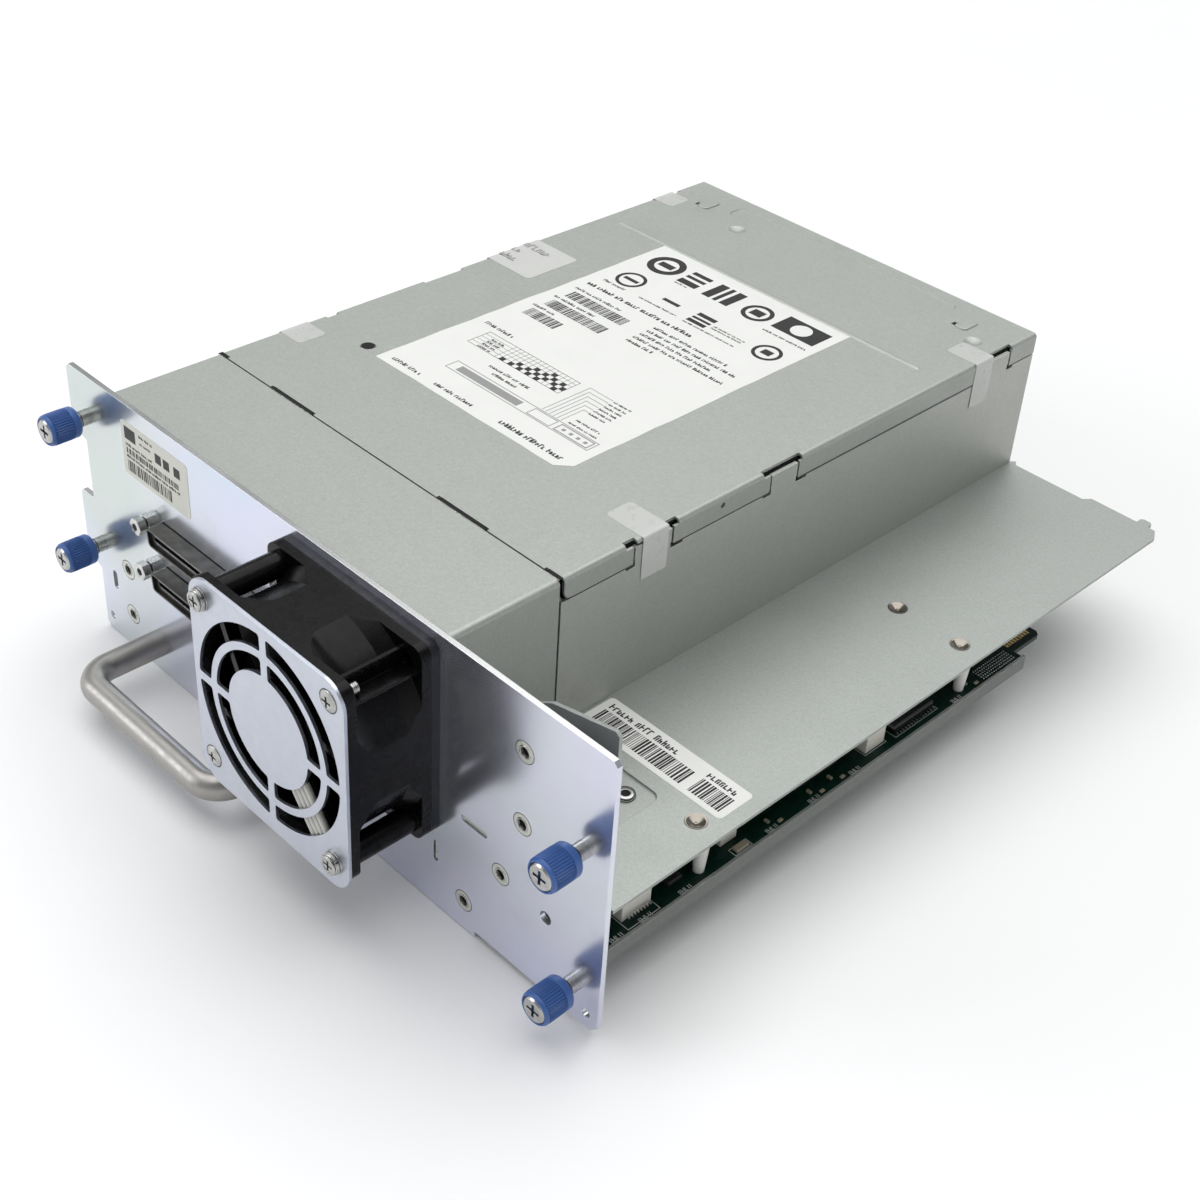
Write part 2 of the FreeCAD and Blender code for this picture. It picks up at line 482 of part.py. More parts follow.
# --- drive housing --------------------------------------------------------------------------
def front_shroud():
    """Sheet duct between the panel and the drive, with two tongues joggled under the cover."""
    back = DRIVE_F - 0.6
    outer = rounded(box(DRIVE_L, DRIVE_R, PANEL_T, back, SHEET, DRIVE_TOP), V(0, 1, 0), 1.6)
    inner = rounded(box(DRIVE_L + SHEET, DRIVE_R - SHEET, PANEL_T - 1, back + 1, 2 * SHEET,
                        DRIVE_TOP - SHEET), V(0, 1, 0), 0.8)
    tongues = []
    for x0, x1 in SEAM_SLOTS[1:3]:
        tongues.append(box(x0 + 1, x1 - 1, back - 3, back + 6, TONGUE_TOP - SHEET, TONGUE_TOP))
        tongues.append(box(x0 + 1, x1 - 1, back - 3, back - 2, TONGUE_TOP - SHEET, DRIVE_TOP - SHEET / 2))
    cuts = [inner, box(DRIVE_L + 12, DRIVE_R - 12, PANEL_T - 1, 9.0, 0, 2 * SHEET + 0.5)]
    cuts.append(box(APRON_X0 - 0.3, DRIVE_R + 1, PANEL_T - 1, PANEL_T + SHEET, 0, APRON_TOP + 0.3))
    cuts += [rod_y(*fan_corner(s, -s), 1.9, 0, LONG_SCREW_TIP + 0.4) for s in (-1, 1)]
    keep_node("front_shroud", joined([outer.cut(cuts)] + tongues))


def sided(depth0, depth1, y0, y1, z0, z1):
    """A box at each side of the drive, between two depths in from its outer faces."""
    return [box(DRIVE_L + depth0, DRIVE_L + depth1, y0, y1, z0, z1),
            box(DRIVE_R - depth1, DRIVE_R - depth0, y0, y1, z0, z1)]


def wall_tops():
    """What stands on the tub's walls: tabs between the cover's lips and set-in strips behind the lips."""
    inner = WALL_SET + CHASSIS_T
    pieces = []
    for y0, y1 in TABS:
        pieces += sided(WALL_SET, inner, y0, y1, LIP_Z - 4, TAB_TOP)
    for y0, y1 in LIP_BACKINGS:
        pieces += sided(LIP_T, LIP_T + CHASSIS_T, y0, y1, LIP_Z - 2, DRIVE_TOP - SHEET)
    return pieces


def drive_chassis():
    """Folded tub of the drive: floor, side walls, vented front wall and the tabs that meet the cover."""
    floor_top = SHEET + CHASSIS_T
    front, back, top = DRIVE_F + 0.2, DRIVE_B, DRIVE_TOP - SHEET
    inner = WALL_SET + CHASSIS_T
    tub = box(DRIVE_L + WALL_SET, DRIVE_R - WALL_SET, front, back, SHEET, top)
    cuts = [box(DRIVE_L + inner, DRIVE_R - inner, front + CHASSIS_T, back + 1, floor_top, top + 1)]
    cuts += sided(-1, inner, front - 1, back + 1, LIP_Z - LIP_GROOVE, top + 1)
    cuts += [box(x0, x1, front - 1, front + 2, TONGUE_TOP - SHEET - 0.4, top + 1)
             for x0, x1 in SEAM_SLOTS[1:3]]
    cuts += [slot_y(28 + 13.0 * i, z, 9.5, 4.0, front - 1, front + 2) for i in range(10)
             for z in (64.0, 72.0)]
    cuts.append(box(30, 92, front - 1, front + 2, 9, 21))
    cuts.append(box(112, 136, front - 1, front + 2, 9, 21))
    reliefs = []
    for y0, y1 in RELIEFS:
        reliefs += sided(-1, 3, y0, y1, LIP_Z - 1.3, LIP_Z + 0.5)
    reliefs += sided(-1, 3, front - 1, LIP_BACKINGS[0][0], LIP_Z, top + 1)
    pillars = [rod_z(x, y, 4.0, floor_top, BASE_Z) for x in (22, 152) for y in (49, 234)]
    board_feet = [rod_z(x, y, 2.5, floor_top, 6.0) for x in (32, 142) for y in (52, 230)]
    shell = joined([tub.cut(cuts)] + wall_tops() + pillars + board_feet)
    keep_node("drive_chassis", shell.cut(reliefs))


def lanced_bridge(x, y):
    """A small raised bridge in the cover and the cutters for the hollow under it and its mouth."""
    top, rise = DRIVE_TOP, 0.5
    bridge = rounded(box(x - 2.5, x + 2.5, y - 4.0, y + 4.0, top - SHEET, top + rise), V(0, 0, 1), 1.8)
    bridge = bridge.makeFillet(0.4, [e for e in bridge.Edges if e.CenterOfMass.z > top + rise - 0.01])
    hollow = rounded(box(x - 1.7, x + 1.7, y - 3.2, y + 3.2, top - SHEET - 1, top - 0.3), V(0, 0, 1), 1.2)
    mouth = box(x - 3.7, x - 2.0, y - 3.1, y - 1.0, top - SHEET - 1, top + 1)
    return bridge, [hollow, mouth]


def pressed_bead(y, x0, x1):
    """A stiffening bead that stands up from the cover with round ends."""
    r, rise = 1.5, 0.35
    z = DRIVE_TOP + rise - r
    ends = [Part.makeSphere(r, V(x, y, z)) for x in (x0, x1)]
    return joined([rod_x(y, z, r, x0, x1)] + ends).common(
        box(x0 - r, x1 + r, y - r, y + r, DRIVE_TOP - SHEET / 2, DRIVE_TOP + r))


def cover_lips():
    """Cutters that leave the cover's folded lips, its corner slots and its seam slots."""
    top = DRIVE_TOP
    cuts = [box(DRIVE_L + LIP_T, DRIVE_R - LIP_T, DRIVE_F - 1, DRIVE_B + 1, LIP_Z - 1, top - SHEET)]
    starts = [DRIVE_F - 1] + [run[1] for run in LIP_RUNS]
    ends = [run[0] for run in LIP_RUNS] + [DRIVE_B + 1]
    for gap_start, gap_end in zip(starts, ends):
        cuts += sided(-1, LIP_T, gap_start, gap_end, LIP_Z - 1, top - SHEET)
    for y0, y1 in CORNER_SLOTS:
        cuts += sided(-1, 1.9, y0, y1, top - SHEET - 0.5, top + 1)
    cuts += [box(x0 - 1, x1, DRIVE_F - 1, DRIVE_F + 0.9, top - SHEET - 1, top + 1) for x0, x1 in SEAM_SLOTS]
    return cuts


def drive_cover():
    """Pressed cover with a folded lip in four runs along each side."""
    top, recess = DRIVE_TOP, 0.35
    plate = box(DRIVE_L, DRIVE_R, DRIVE_F, DRIVE_B, LIP_Z, top)
    plate = rounded(plate, V(0, 1, 0), 1.3, lambda p: p.z > top - 1)
    plate = rounded(plate.cut(cover_lips()), V(1, 0, 0), 2.6, lambda p: p.y < 42.1 and p.z < LIP_Z + 0.1)
    pressing = rounded(box(38.5, 133.0, 233.0, 241.6, top - recess, top + 1), V(0, 0, 1), 2.5)
    floor_edges = [e for e in pressing.Edges if e.CenterOfMass.z < top - recess + 0.01]
    cuts = [pressing.makeChamfer(recess * 0.9, floor_edges)]
    cuts.append(rod_z(37.3, 77.0, 2.1, top - 3, top + 1))
    cuts += [Part.makeSphere(6.0, V(x, y, top + 5.2)) for x, y in ((49.6, 226.2), (150.0, 225.7))]
    cuts.append(rod_x(100.0, 80.4, 0.9, DRIVE_R - 3, DRIVE_R + 1))
    solid = [pressed_bead(197.8, 21.5, 149.5)]
    for x, y in ((29.6, 233.2), (142.0, 233.0)):
        bridge, hollows = lanced_bridge(x, y)
        cuts += hollows
        solid.append(bridge)
    keep_node("drive_cover", joined([plate] + solid).cut(cuts))


def mouth_bezel():
    """Moulded end plate of the drive with the cartridge mouth and the door's two hinge ears."""
    low, high = SHEET + CHASSIS_T, DRIVE_TOP - SHEET - 0.1
    plates = []
    for inset, top in ((WALL_SET + CHASSIS_T + 0.1, LIP_Z - 2.3), (LIP_T + CHASSIS_T + 0.1, high)):
        plates.append(box(DRIVE_L + inset, DRIVE_R - inset, DRIVE_B - BEZEL_T, DRIVE_B, low, top))
    mouth = rounded(box(MOUTH_X0, MOUTH_X1, DRIVE_B - BEZEL_T - 1, DRIVE_B + 1, MOUTH_Z0, MOUTH_Z1),
                    V(0, 1, 0), 2.0)
    flare = box(MOUTH_X0 - 1.2, MOUTH_X1 + 1.2, DRIVE_B - 1.0, DRIVE_B + 1, MOUTH_Z0 - 1.2, MOUTH_Z1 + 1.2)
    ears = []
    for x0, x1 in ((MOUTH_X0 - 4.0, MOUTH_X0 - 1.0), (MOUTH_X1 + 1.0, MOUTH_X1 + 4.0)):
        ear = box(x0, x1, DOOR_Y - 3.0, DRIVE_B - BEZEL_T, DOOR_Z - 3.0, DOOR_Z + 3.0)
        ears.append(rounded(ear, V(1, 0, 0), 2.6, lambda p: p.y < DOOR_Y))
    holes = [rod_x(DOOR_Y, DOOR_Z, DOOR_PIN_R, MOUTH_X0 - 5, MOUTH_X1 + 5)]
    keep_node("mouth_bezel", joined(plates + ears).cut([mouth, flare] + holes))
    keep_node("door_pin", rod_x(DOOR_Y, DOOR_Z, DOOR_PIN_R, MOUTH_X0 - 4.4, MOUTH_X1 + 4.4))


def cartridge_door():
    """Flap behind the mouth that an incoming cartridge swings up and in."""
    x0, x1 = MOUTH_X0 - 0.4, MOUTH_X1 + 0.4
    barrel = rod_x(DOOR_Y, DOOR_Z, 2.3, x0, x1)
    leaf = box(x0, x1, DOOR_Y + 0.4, DOOR_Y + 2.0, MOUTH_Z0 - 0.8, DOOR_Z)
    ribs = [box(x - 0.6, x + 0.6, DOOR_Y - 0.6, DOOR_Y + 0.4, MOUTH_Z0 + 1, DOOR_Z - 1)
            for x in (x0 + 6, (x0 + x1) / 2, x1 - 6)]
    body = joined([barrel, leaf] + ribs)
    keep_node("cartridge_door", body.cut(rod_x(DOOR_Y, DOOR_Z, DOOR_PIN_R + RUNNING, x0 - 1, x1 + 1)))


def sled_floor():
    """Carrier sheet under the drive, turned up at the front behind the panel."""
    floor = box(DRIVE_L, DRIVE_R, PANEL_T, DRIVE_B, 0, SHEET)
    apron = box(APRON_X0, 176.0, PANEL_T, PANEL_T + SHEET, 0, APRON_TOP)
    apron = rounded(apron, V(0, 1, 0), 3.0, lambda p: p.z > 15)
    holes = [rod_y(x, HANDLE_Z, 2.1, 1, 4) for x in (HANDLE_X1, HANDLE_X2)]
    holes += [rod_y(RINGS[i][0], RINGS[i][1], RING_HOLE_R + 0.2, 1, 4) for i in (1, 5)]
    holes.append(box(158.0, 164.4, 1, 4, 14.8, 16))
    keep_node("sled_floor", joined([floor, apron]).cut(holes))


# --- wing -----------------------------------------------------------------------------------
def wing_cover():
    """Shelf over the controller board, turned down along the drive and up behind the panel."""
    z0, z1 = WING_TOP - SHEET, WING_TOP
    step_x, step_y = 190.5, 249.0
    outline = [(DRIVE_R + 0.3, WING_FRONT), (WING_R, WING_FRONT), (WING_R, step_y - 4.0),
               (WING_R - 2.2, step_y), (211.4, step_y), (211.4, MODULE_BACK - 0.8), (210.6, MODULE_BACK),
               (208.2, MODULE_BACK), (207.4, MODULE_BACK - 0.8), (207.4, step_y), (step_x, step_y),
               (188.5, DRIVE_B), (162.5, DRIVE_B), (WING_L + 1.2, DRIVE_B + 2.0), (WING_L, DRIVE_B + 0.6),
               (WING_L, DRIVE_F + 1.5), (DRIVE_R + 0.3, DRIVE_F + 1.5)]
    sheet = plate_xy(outline, z0, z1)
    pocket = rounded(box(176.0, 197.7, 12.0, 44.7, z0 - 0.7, z0 + 0.1), V(0, 0, 1), 4.0)
    dent = rounded(box(177.0, 196.7, 13.0, 43.7, z0 + 0.3, z1 + 1), V(0, 0, 1), 3.0)
    skirt = box(WING_L, WING_L + SHEET, DRIVE_F + 3, DRIVE_B - 4, 27.0, z0 + 0.1)
    shield = plate_xz([(186.0, z0), (214.0, z0), (214.0, 87.0), (212.6, 88.0), (192.5, 83.2), (186.0, 79.0)],
                      WING_FRONT, WING_FRONT + SHEET)
    shield = rounded(shield, V(0, 1, 0), 3.0, lambda p: p.z > 75 and p.x < 200)
    holes = [rod_z(x, y, 1.7, z0 - 2, z1 + 1) for x, y in RIVETS]
    holes += [Part.makeCone(1.7, 3.1, 0.75, V(x, y, z1 - 0.75), V(0, 0, 1)) for x, y in RIVETS]
    holes.append(rod_z(189.7, 37.8, 2.7, z0 - 2, z1 + 1))
    holes.append(rod_y(*THUMBSCREWS[2], 4.4, WING_FRONT - 1, WING_FRONT + 2))
    holes += [rod_y(x, z, 1.6, WING_FRONT - 1, WING_FRONT + 2) for x, z, _ in RINGS[2:4]]
    keep_node("wing_cover", joined([sheet, pocket, skirt, shield]).cut([dent] + holes))
    ring = turned_z([(1.1, z0 - 1.9), (2.7, z0 - 1.9), (2.7, z0 + 0.3), (1.5, z0 + 0.3), (1.1, z0 + 0.1)],
                    189.7, 37.8)
    rivets = [turned_z([(0, z0 - 1.2), (1.6, z0 - 1.2), (1.6, z1 - 0.7), (3.0, z1 - 0.05), (2.8, z1 + 0.05),
                        (1.7, z1 - 0.1), (0.4, z1 - 0.9), (0, z1 - 0.9)], x, y) for x, y in RIVETS]
    keep_node("wing_rivets", ring, *rivets)


def wing_tray():
    """Pan under the controller board with a lip at its outer edge and feet for the board."""
    floor_top = TRAY_Z + SHEET
    x0, front = WING_L, WING_FRONT
    floor = plate_xy([(DRIVE_R + 0.3, front), (TRAY_R, front), (TRAY_R, TRAY_B), (x0, TRAY_B),
                      (x0, DRIVE_F + 3), (DRIVE_R + 0.3, DRIVE_F + 3)], TRAY_Z, floor_top)
    lip = box(TRAY_R - SHEET, TRAY_R, front, TRAY_B, TRAY_Z, PCB_TOP)
    wall = box(x0, x0 + SHEET, DRIVE_F + 3, TRAY_B, TRAY_Z, 26.6)
    apron = rounded(box(176.0, 196.0, front, front + SHEET, TRAY_Z, 33.6), V(0, 1, 0), 2.5,
                    lambda p: p.z > 30)
    feet = [rod_z(x, y, 2.6, floor_top, PCB_TOP - PCB_T) for x in (168, 208) for y in (20, 96, 172)]
    holes = [rod_y(RINGS[4][0], RINGS[4][1], 1.6, front - 1, front + 2)]
    holes.append(rod_y(*THUMBSCREWS[3], 2.4, front - 1, front + 3))
    body = rounded(joined([floor, lip]), V(0, 1, 0), 0.9,
                   lambda p: p.x > TRAY_R - 0.1 and p.z < TRAY_Z + 0.1)
    keep_node("wing_tray", joined([body, wall, apron] + feet).cut(holes))
    screws = []
    for y in (60.0, 150.0):
        for z in (21.4, 30.4):
            head = Part.makeCylinder(2.4, 1.4, V(x0 + SHEET, y, z), V(1, 0, 0))
            shank = Part.makeCylinder(1.4, 2.4, V(x0 + SHEET - 2.4, y, z), V(1, 0, 0))
            screws.append(joined([head, shank]))
    keep_node("wing_screws", *screws)
    cutters = [Part.makeCylinder(1.4, 4.0, V(x0 - 2.5, y, z), V(1, 0, 0)) for y in (60.0, 150.0)
               for z in (21.4, 30.4)]
    for name in ("wing_tray", "wing_cover", "drive_chassis"):
        NODES[name] = NODES[name].cut(cutters)


def controller_board():
    x0, x1, y0, y1 = 162.9, TRAY_R - SHEET - 0.2, WING_FRONT + 1.6, TRAY_B - 1.0
    board = plate_xy([(x0, y0), (x1, y0), (x1, y1), (211.3, y1), (211.3, y1 + 12.6), (210.0, y1 + 13.8),
                      (172.0, y1 + 13.8), (172.0, y1), (x0, y1)], PCB_TOP - PCB_T, PCB_TOP)
    keep_node("controller_board", board.cut([rod_z(x, y, 1.2, PCB_TOP - 3, PCB_TOP + 1) for x, y in POSTS]))
    top = WING_TOP - SHEET
    posts = [turned_z([(0, PCB_TOP - PCB_T - 0.6), (1.1, PCB_TOP - PCB_T - 0.6), (1.1, PCB_TOP),
                       (1.5, PCB_TOP), (2.3, top - 4.5), (2.3, top - 1.3), (0, top - 1.3)], x, y) for x,
             y in POSTS]
    keep_node("board_posts", *posts)
    sockets = []
    for x0, x1, y0, y1, height in ((204.6, 210.6, 17.0, 27.0, 5.6), (196.0, 209.0, 54.0, 60.0, 4.4),
                                   (205.0, 211.0, 110.5, 118.5, 5.8)):
        shell = box(x0, x1, y0, y1, PCB_TOP, PCB_TOP + height)
        sockets.append(shell.cut(box(x0 + 0.9, x1 - 0.9, y0 + 0.9, y1 - 0.9, PCB_TOP + 1.4,
                                     PCB_TOP + height + 1)))
    keep_node("board_connectors", *sockets)
    chips = []
    for x0, y0, width, depth, height in ((196.5, 124.0, 14.0, 17.6, 2.0), (184.0, 70.0, 20.0, 20.0, 2.2),
                                         (200.0, 84.0, 8.0, 18.0, 1.2), (170.0, 104.0, 10.0, 22.0, 1.2),
                                         (206.0, 34.0, 4.0, 5.0, 1.0), (168.0, 128.0, 16.0, 16.0, 1.8)):
        body = box(x0, x0 + width, y0, y0 + depth, PCB_TOP, PCB_TOP + height)
        chips.append(body.makeChamfer(0.3,
                                      [e for e in body.Edges if e.CenterOfMass.z > PCB_TOP + height - 0.01]))
    keep_node("board_chips", *chips)


# --- mechanism ------------------------------------------------------------------------------
def mechanism_base():
    """Cast plate that carries the reels, guides, head and loader rails."""
    inset = LIP_T + CHASSIS_T + 0.4
    x0, x1, y0, y1 = DRIVE_L + inset, DRIVE_R - inset, DRIVE_F + 3.0, 238.0
    plate = rounded(box(x0, x1, y0, y1, BASE_Z, BASE_TOP), V(0, 0, 1), 4.0)
    cuts = [rod_z(SUPPLY_X, SUPPLY_Y, 19.5, BASE_Z - 1, BASE_TOP + 1),
            rod_z(TAKEUP_X, TAKEUP_Y, 8.0, BASE_Z - 1, BASE_TOP + 1)]
    cuts += [rounded(box(xa, xb, 196, 230, BASE_Z - 1, BASE_TOP + 1), V(0, 0, 1), 4.0)
             for xa, xb in ((40, 80), (94, 134))]
    cuts += [rod_z(x, y, PIN_R, BASE_Z - 1, BASE_TOP + 1) for x, y in ROLLERS + ((ARM_X, ARM_Y),)]
    cuts += [rod_z(HEAD_X, HEAD_Y + s * 6.0, PIN_R, BASE_Z - 1, BASE_TOP + 1) for s in (-1, 1)]
    rails = [box(xa, xb, CARRIAGE_Y0, 236, BASE_TOP, RAIL_TOP)
             for xa, xb in ((CARRIAGE_X0 - 4.3, CARRIAGE_X0 - 0.3), (CARRIAGE_X1 + 0.3, CARRIAGE_X1 + 4.3))]
    keep_node("mechanism_base", joined([plate.cut(cuts)] + rails))


def reel_motors():
    """Flat motors hung under the base, each with a bearing tube for its reel's shaft."""
    motors = []
    for x, y in ((SUPPLY_X, SUPPLY_Y), (TAKEUP_X, TAKEUP_Y)):
        motors.append(turned_z([(2.0 + RUNNING, 12.0), (21.0, 12.0), (24.0, 14.0), (24.0, BASE_Z),
                                (2.0 + RUNNING, BASE_Z)], x, y))
    keep_node("reel_motors", *motors)


def supply_hub():
    """Drive clutch under the cartridge: a disc with a ring of teeth on its face."""
    low, face = BASE_Z + 0.4, 29.2
    disc = turned_z([(0, 13.0), (2.0, 13.0), (2.0, low), (17.5, low), (17.5, face), (9.0, face),
                     (8.0, face + 1.2), (0, face + 1.2)], SUPPLY_X, SUPPLY_Y)
    teeth = []
    for i in range(20):
        tooth = plate_xy([(11.5, -0.9), (16.0, -1.3), (16.0, 1.3), (11.5, 0.9)], face - 0.2, face + 1.2)
        tooth.translate(V(SUPPLY_X, SUPPLY_Y, 0))
        tooth.rotate(V(SUPPLY_X, SUPPLY_Y, 0), V(0, 0, 1), 18 * i)
        teeth.append(tooth)
    keep_node("supply_hub", joined([disc] + teeth))


def takeup_reel():
    """Spool with two flanges, windows in the upper flange and a slot in the hub for the leader."""
    low, high = TAPE_Z - 1.2, TAPE_Z + TAPE_W
    spool = turned_z([(0, 13.0), (2.0, 13.0), (2.0, low), (TAKEUP_R, low), (TAKEUP_R, TAPE_Z),
                      (12.0, TAPE_Z + 0.4), (12.0, high - 0.4), (TAKEUP_R, high), (TAKEUP_R, high + 1.2),
                      (0, high + 1.2)], TAKEUP_X, TAKEUP_Y)
    slot = box(TAKEUP_X - 13, TAKEUP_X - 3, TAKEUP_Y - 1.6, TAKEUP_Y + 1.6, TAPE_Z + 0.4, high + 2)
    windows = []
    for i in range(3):
        window = rod_z(TAKEUP_X + 23.0, TAKEUP_Y, 6.5, high - 1, high + 3)
        window.rotate(V(TAKEUP_X, TAKEUP_Y, 0), V(0, 0, 1), 60 + 120 * i)
        windows.append(window)
    keep_node("takeup_reel", spool.cut([slot] + windows))


def tape_path():
    """Flanged guide rollers on fixed posts, the head on its rods and the threading arm."""
    low, high = TAPE_Z - 0.8, TAPE_Z + TAPE_W
    bore = PIN_R + RUNNING
    for number, (x, y) in enumerate(ROLLERS, 1):
        roller = turned_z([(bore, low), (ROLLER_R + 1.4, low), (ROLLER_R + 1.4, TAPE_Z),
                           (ROLLER_R, TAPE_Z + 0.3), (ROLLER_R, high - 0.3), (ROLLER_R + 1.4, high),
                           (ROLLER_R + 1.4, high + 0.8), (bore, high + 0.8)], x, y)
        keep_node(f"guide_roller_{number}", roller)
    posts = [turned_z([(0, BASE_Z), (PIN_R, BASE_Z), (PIN_R, BASE_TOP), (3.0, BASE_TOP), (3.0, low - 0.1),
                       (PIN_R, low - 0.1), (PIN_R, high + 1.6), (0, high + 1.6)], x, y) for x, y in ROLLERS]
    posts.append(turned_z([(0, BASE_Z), (PIN_R, BASE_Z), (PIN_R, BASE_TOP), (2.6, BASE_TOP),
                           (2.6, ARM_Z - 0.1), (PIN_R, ARM_Z - 0.1), (PIN_R, ARM_Z + 3.4), (0, ARM_Z + 3.4)],
                          ARM_X, ARM_Y))
    keep_node("guide_posts", *posts)
    rods = [rod_z(HEAD_X, HEAD_Y + s * 6.0, PIN_R, BASE_Z, 46.2) for s in (-1, 1)]
    keep_node("head_rods", *rods)
    carriage = box(HEAD_X - 4.0, HEAD_X + 9.0, HEAD_Y - 10.0, HEAD_Y + 10.0, TAPE_Z, high)
    nose = plate_xy([(HEAD_X - 4.0, HEAD_Y - 6.0), (HEAD_X - 9.5, HEAD_Y - 3.4),
                     (HEAD_X - 10.2, HEAD_Y - 2.2), (HEAD_X - 10.2, HEAD_Y + 2.2),
                     (HEAD_X - 9.5, HEAD_Y + 3.4), (HEAD_X - 4.0, HEAD_Y + 6.0)], TAPE_Z, high)
    holes = [rod_z(HEAD_X, HEAD_Y + s * 6.0, PIN_R + RUNNING, TAPE_Z - 1, high + 1) for s in (-1, 1)]
    keep_node("head_carriage", joined([carriage, nose]).cut(holes))
    yoke = box(HEAD_X + 9.6, HEAD_X + 17.0, HEAD_Y - 10.0, HEAD_Y + 10.0, BASE_TOP, 45.6)
    gap = box(HEAD_X + 9.0, HEAD_X + 13.0, HEAD_Y - 7.5, HEAD_Y + 7.5, BASE_TOP + 2.5, 43.0)
    keep_node("head_magnet", yoke.cut(gap))
    arm = plate_xy([(ARM_X - ARM_LENGTH, ARM_Y - 1.6), (ARM_X - ARM_LENGTH, ARM_Y + 1.6),
                    (ARM_X, ARM_Y + 3.8), (ARM_X, ARM_Y - 3.8)], ARM_Z, ARM_Z + 2.4)
    grab = rod_z(ARM_X - ARM_LENGTH, ARM_Y, 2.4, ARM_Z - 1.2, ARM_Z + 2.4)
    boss = rod_z(ARM_X, ARM_Y, 3.8, ARM_Z, ARM_Z + 3.0)
    body = joined([arm, grab, boss]).cut(rod_z(ARM_X, ARM_Y, bore, ARM_Z - 1, ARM_Z + 4))
    body.rotate(V(ARM_X, ARM_Y, 0), V(0, 0, 1), -10)
    keep_node("threader_arm", body)


def loader_carriage():
    """Open bucket that draws the cartridge in over the supply hub."""
    outer = box(CARRIAGE_X0, CARRIAGE_X1, CARRIAGE_Y0, CARRIAGE_Y1, CARRIAGE_Z0, CARRIAGE_Z1)
    hollow = box(CARRIAGE_X0 + 1, CARRIAGE_X1 - 1, CARRIAGE_Y0 + 1, CARRIAGE_Y1 + 1, CARRIAGE_Z0 + 1.2,
                 CARRIAGE_Z1 + 1)
    hub_room = 20.5
    window = box(SUPPLY_X - hub_room, SUPPLY_X + hub_room, SUPPLY_Y - CARRIAGE_TRAVEL - hub_room,
                 SUPPLY_Y + hub_room, CARRIAGE_Z0 - 1, CARRIAGE_Z0 + 2)
    runners = [box(xa, xb, CARRIAGE_Y0, CARRIAGE_Y1, RAIL_TOP + RUNNING, RAIL_TOP + 1.2)
               for xa, xb in ((CARRIAGE_X0 - 3.9, CARRIAGE_X0), (CARRIAGE_X1, CARRIAGE_X1 + 3.9))]
    leader_way = box(CARRIAGE_X0 - 1, CARRIAGE_X0 + 22, CARRIAGE_Y0 - 1, CARRIAGE_Y0 + 10, CARRIAGE_Z0 + 4,
                     CARRIAGE_Z1 + 1)
    guides = [box(xa, xb, CARRIAGE_Y0, CARRIAGE_Y1, CARRIAGE_Z1 - 1, CARRIAGE_Z1)
              for xa, xb in ((CARRIAGE_X0, CARRIAGE_X0 + 6), (CARRIAGE_X1 - 6, CARRIAGE_X1))]
    body = joined([outer.cut(hollow)] + guides + runners)
    keep_node("loader_carriage", body.cut([window, leader_way]))


def drive_logic_board():
    z0, z1 = 6.0, 6.0 + PCB_T
    board = rounded(box(27.0, 147.0, 47.0, 236.0, z0, z1), V(0, 0, 1), 2.0)
    parts = [board]
    for x0, y0, width, depth in ((40, 190, 26, 26), (84, 196, 20, 28), (112, 110, 16, 16),
                                 (36, 120, 14, 20)):
        parts.append(box(x0, x0 + width, y0, y0 + depth, z1, z1 + 2.4))
    socket = box(31, 91, DRIVE_F + 2.0, 56, z1, 20.4)
    power = box(113, 135, DRIVE_F + 2.0, 54, z1, 20.0)
    keep_node("drive_logic_board", joined(parts + [socket, power]))


def main():
    front_panel()
    panel_standoffs()
    handle()
    thumbscrews()
    receptacles()
    fan_adaptor()
    fan_frame()
    fan_impeller()
    fan_leads()
    fan_guard()
    fan_screws()
    front_shroud()
    drive_chassis()
    drive_cover()
    mouth_bezel()
    cartridge_door()
    sled_floor()
    wing_cover()
    wing_tray()
    controller_board()
    mechanism_base()
    reel_motors()
    supply_hub()
    takeup_reel()
    tape_path()
    loader_carriage()
    drive_logic_board()
    for name, shape in NODES.items():
        placed = shape.copy()
        placed.translate(V(0, 0, 0).sub(ORIGIN))
        placed.exportStep(f"parts/{name}.step")


main()
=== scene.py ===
"""Looks of a tape library's drive module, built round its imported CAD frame.

The CAD nodes keep their places. Each gets a finish, and the few whose fine form matters to the eye are
replaced by smoother or more detailed pieces that ride on the same body. Sizes are in millimetres unless a
name or a docstring says metres, and places are measured as spot() says.
"""

import enum
import json
import logging
import math
import random
from collections.abc import Sequence
from dataclasses import dataclass

import bmesh
import bpy
from mathutils import Matrix, Vector


